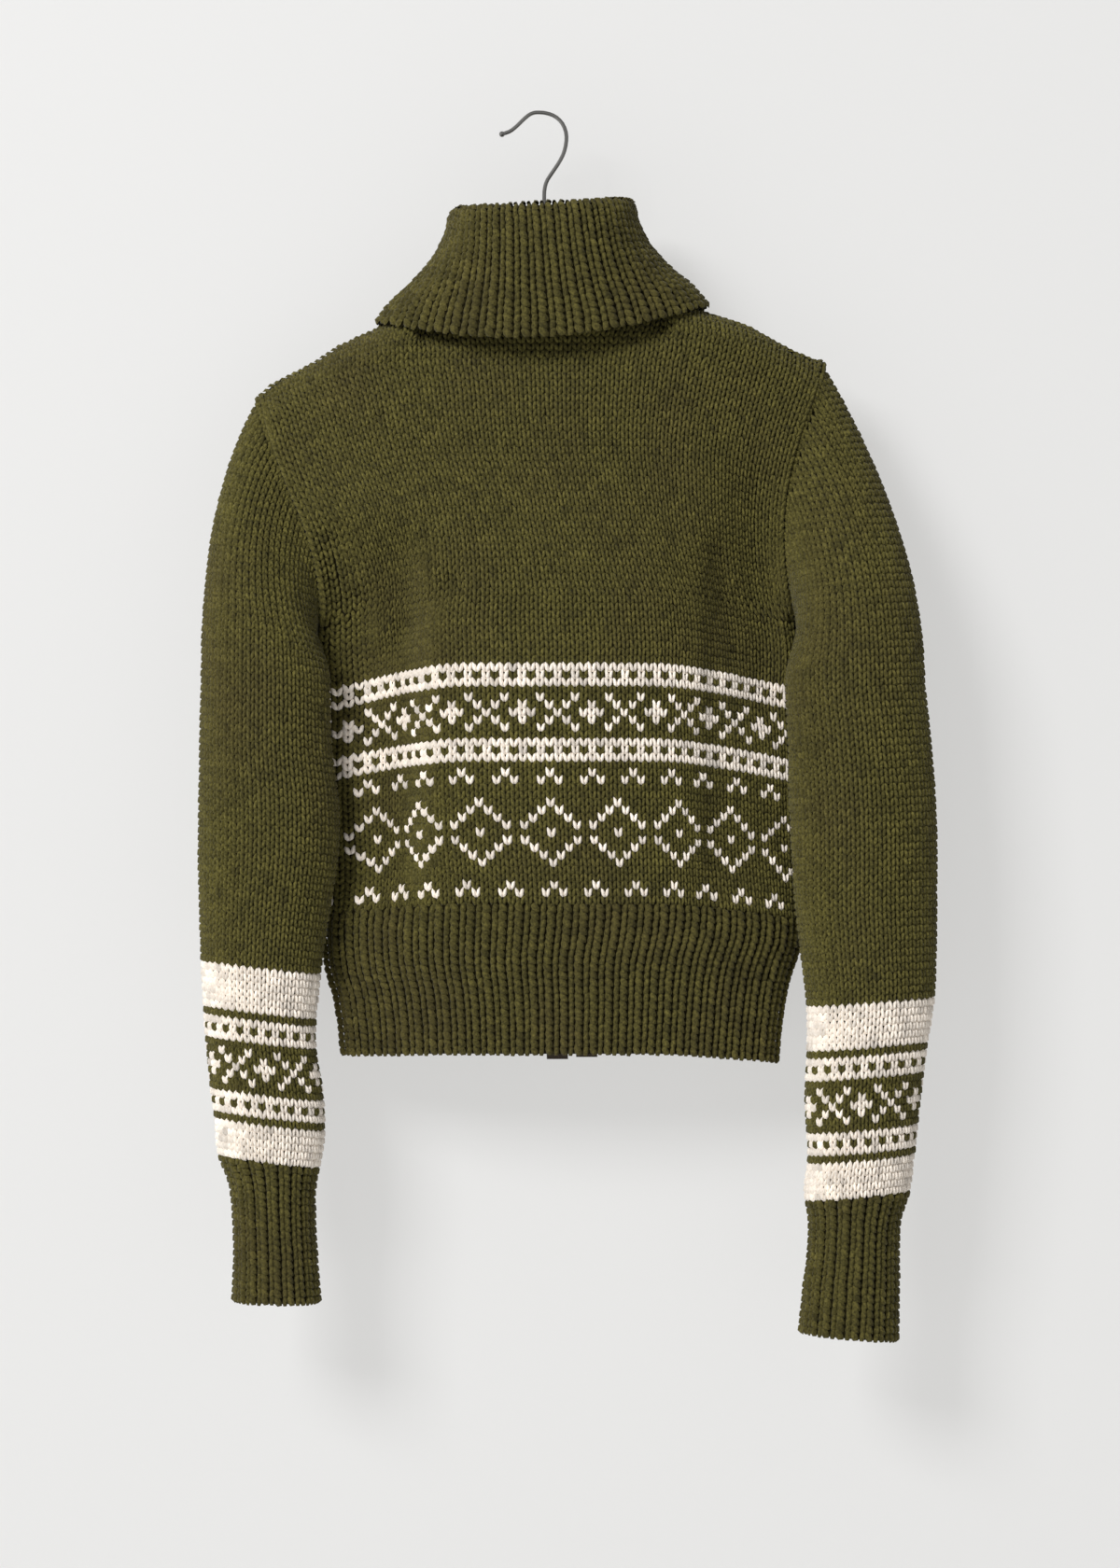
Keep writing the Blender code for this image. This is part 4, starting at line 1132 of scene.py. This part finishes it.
def plane(name, corners, material):
    mesh = bpy.data.meshes.new(name)
    mesh.from_pydata([Vector(corner) * MM for corner in corners], [], [(0, 1, 2, 3)])
    mesh.materials.append(material)
    obj = link(name, mesh)
    return obj


def studio():
    """A pale floor, a pale wall that is clear from behind, soft light and a camera."""
    floor, _, _, shader = new_material("pale_floor", 0.7)
    shader.inputs["Base Color"].default_value = (*FLOOR_GREY, 1)
    wall, nodes, links, shader = new_material("pale_wall", 0.8)
    shader.inputs["Base Color"].default_value = (*WALL_GREY, 1)
    shader.inputs["Emission Color"].default_value = (*WALL_GLOW, 1)
    shader.inputs["Emission Strength"].default_value = GLOW_STRENGTH
    face = nodes.new("ShaderNodeNewGeometry")
    clear = nodes.new("ShaderNodeBsdfTransparent")
    mix = nodes.new("ShaderNodeMixShader")
    links.new(face.outputs["Backfacing"], mix.inputs["Fac"])
    links.new(shader.outputs["BSDF"], mix.inputs[1])
    links.new(clear.outputs["BSDF"], mix.inputs[2])
    links.new(mix.outputs["Shader"], nodes["Material Output"].inputs["Surface"])
    wide = STUDIO_HALF
    square = ((-wide, -wide), (wide, -wide), (wide, wide), (-wide, wide))
    plane("studio_floor", [(x, y, -FLOOR_DROP) for x, y in square], floor)
    upright = ((-wide, -FLOOR_DROP), (wide, -FLOOR_DROP), (wide, WALL_TOP), (-wide, WALL_TOP))
    plane("studio_wall", [(x, WALL_Y, z) for x, z in upright], wall)

    world = bpy.data.worlds.new("studio_world")
    bpy.context.scene.world = world
    world.use_nodes = True
    background = world.node_tree.nodes["Background"].inputs
    background["Color"].default_value = (1, 1, 1, 1)
    background["Strength"].default_value = WORLD_STRENGTH

    for name, (place, size, energy) in LIGHTS.items():
        data = bpy.data.lights.new(name, "AREA")
        data.shape = "SQUARE"
        data.size = size * MM
        data.energy = energy
        lamp = link(name, data)
        lamp.location = Vector(place) * MM
        aim = Vector((0, 0, -CAMERA_DROP)) * MM - lamp.location
        lamp.rotation_euler = aim.to_track_quat("-Z", "Y").to_euler()

    data = bpy.data.cameras.new("photo_camera")
    data.sensor_fit = "VERTICAL"
    data.sensor_height = SENSOR
    data.lens = SENSOR * (CAMERA_AWAY + VIEW_PLANE_Y) / VIEW_HEIGHT
    camera = link("photo_camera", data)
    camera.location = Vector((CAMERA_X, -CAMERA_AWAY, -CAMERA_DROP)) * MM
    camera.rotation_euler = (math.radians(90), 0, 0)
    bpy.context.scene.camera = camera
    bpy.context.scene.view_settings.view_transform = "Standard"


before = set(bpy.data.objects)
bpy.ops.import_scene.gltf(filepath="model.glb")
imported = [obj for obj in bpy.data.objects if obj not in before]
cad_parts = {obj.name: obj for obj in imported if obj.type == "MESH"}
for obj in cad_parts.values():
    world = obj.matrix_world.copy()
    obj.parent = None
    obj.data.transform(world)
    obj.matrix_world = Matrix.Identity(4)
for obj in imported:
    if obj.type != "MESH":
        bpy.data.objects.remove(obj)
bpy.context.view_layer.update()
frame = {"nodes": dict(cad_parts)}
tools = {
    "stitch": stitch_object("stitch", LEGS),
    "rib": stitch_object("rib_stitch", RIB_LEGS),
    "tree": stitch_tree(),
    "stitch_yarn": yarn("green_yarn", *GREEN, sheen=0.10, brown=0.35),
    "rib_yarn": yarn("rib_yarn", *RIB_GREEN, sheen=0.10, brown=0.45),
    "cream": yarn("cream_yarn", *CREAM, sheen=0.2, brown=0.0),
    "shade": shade_cloth(),
}
body_panels(tools)
hem_ribs(tools)
sleeves(tools)
collar(tools)
zip_tapes(tape_material())
zip_teeth(dress_hard_parts(frame))
for name in ("stitch", "rib"):
    bpy.data.objects.remove(tools[name], do_unlink=True)
studio()
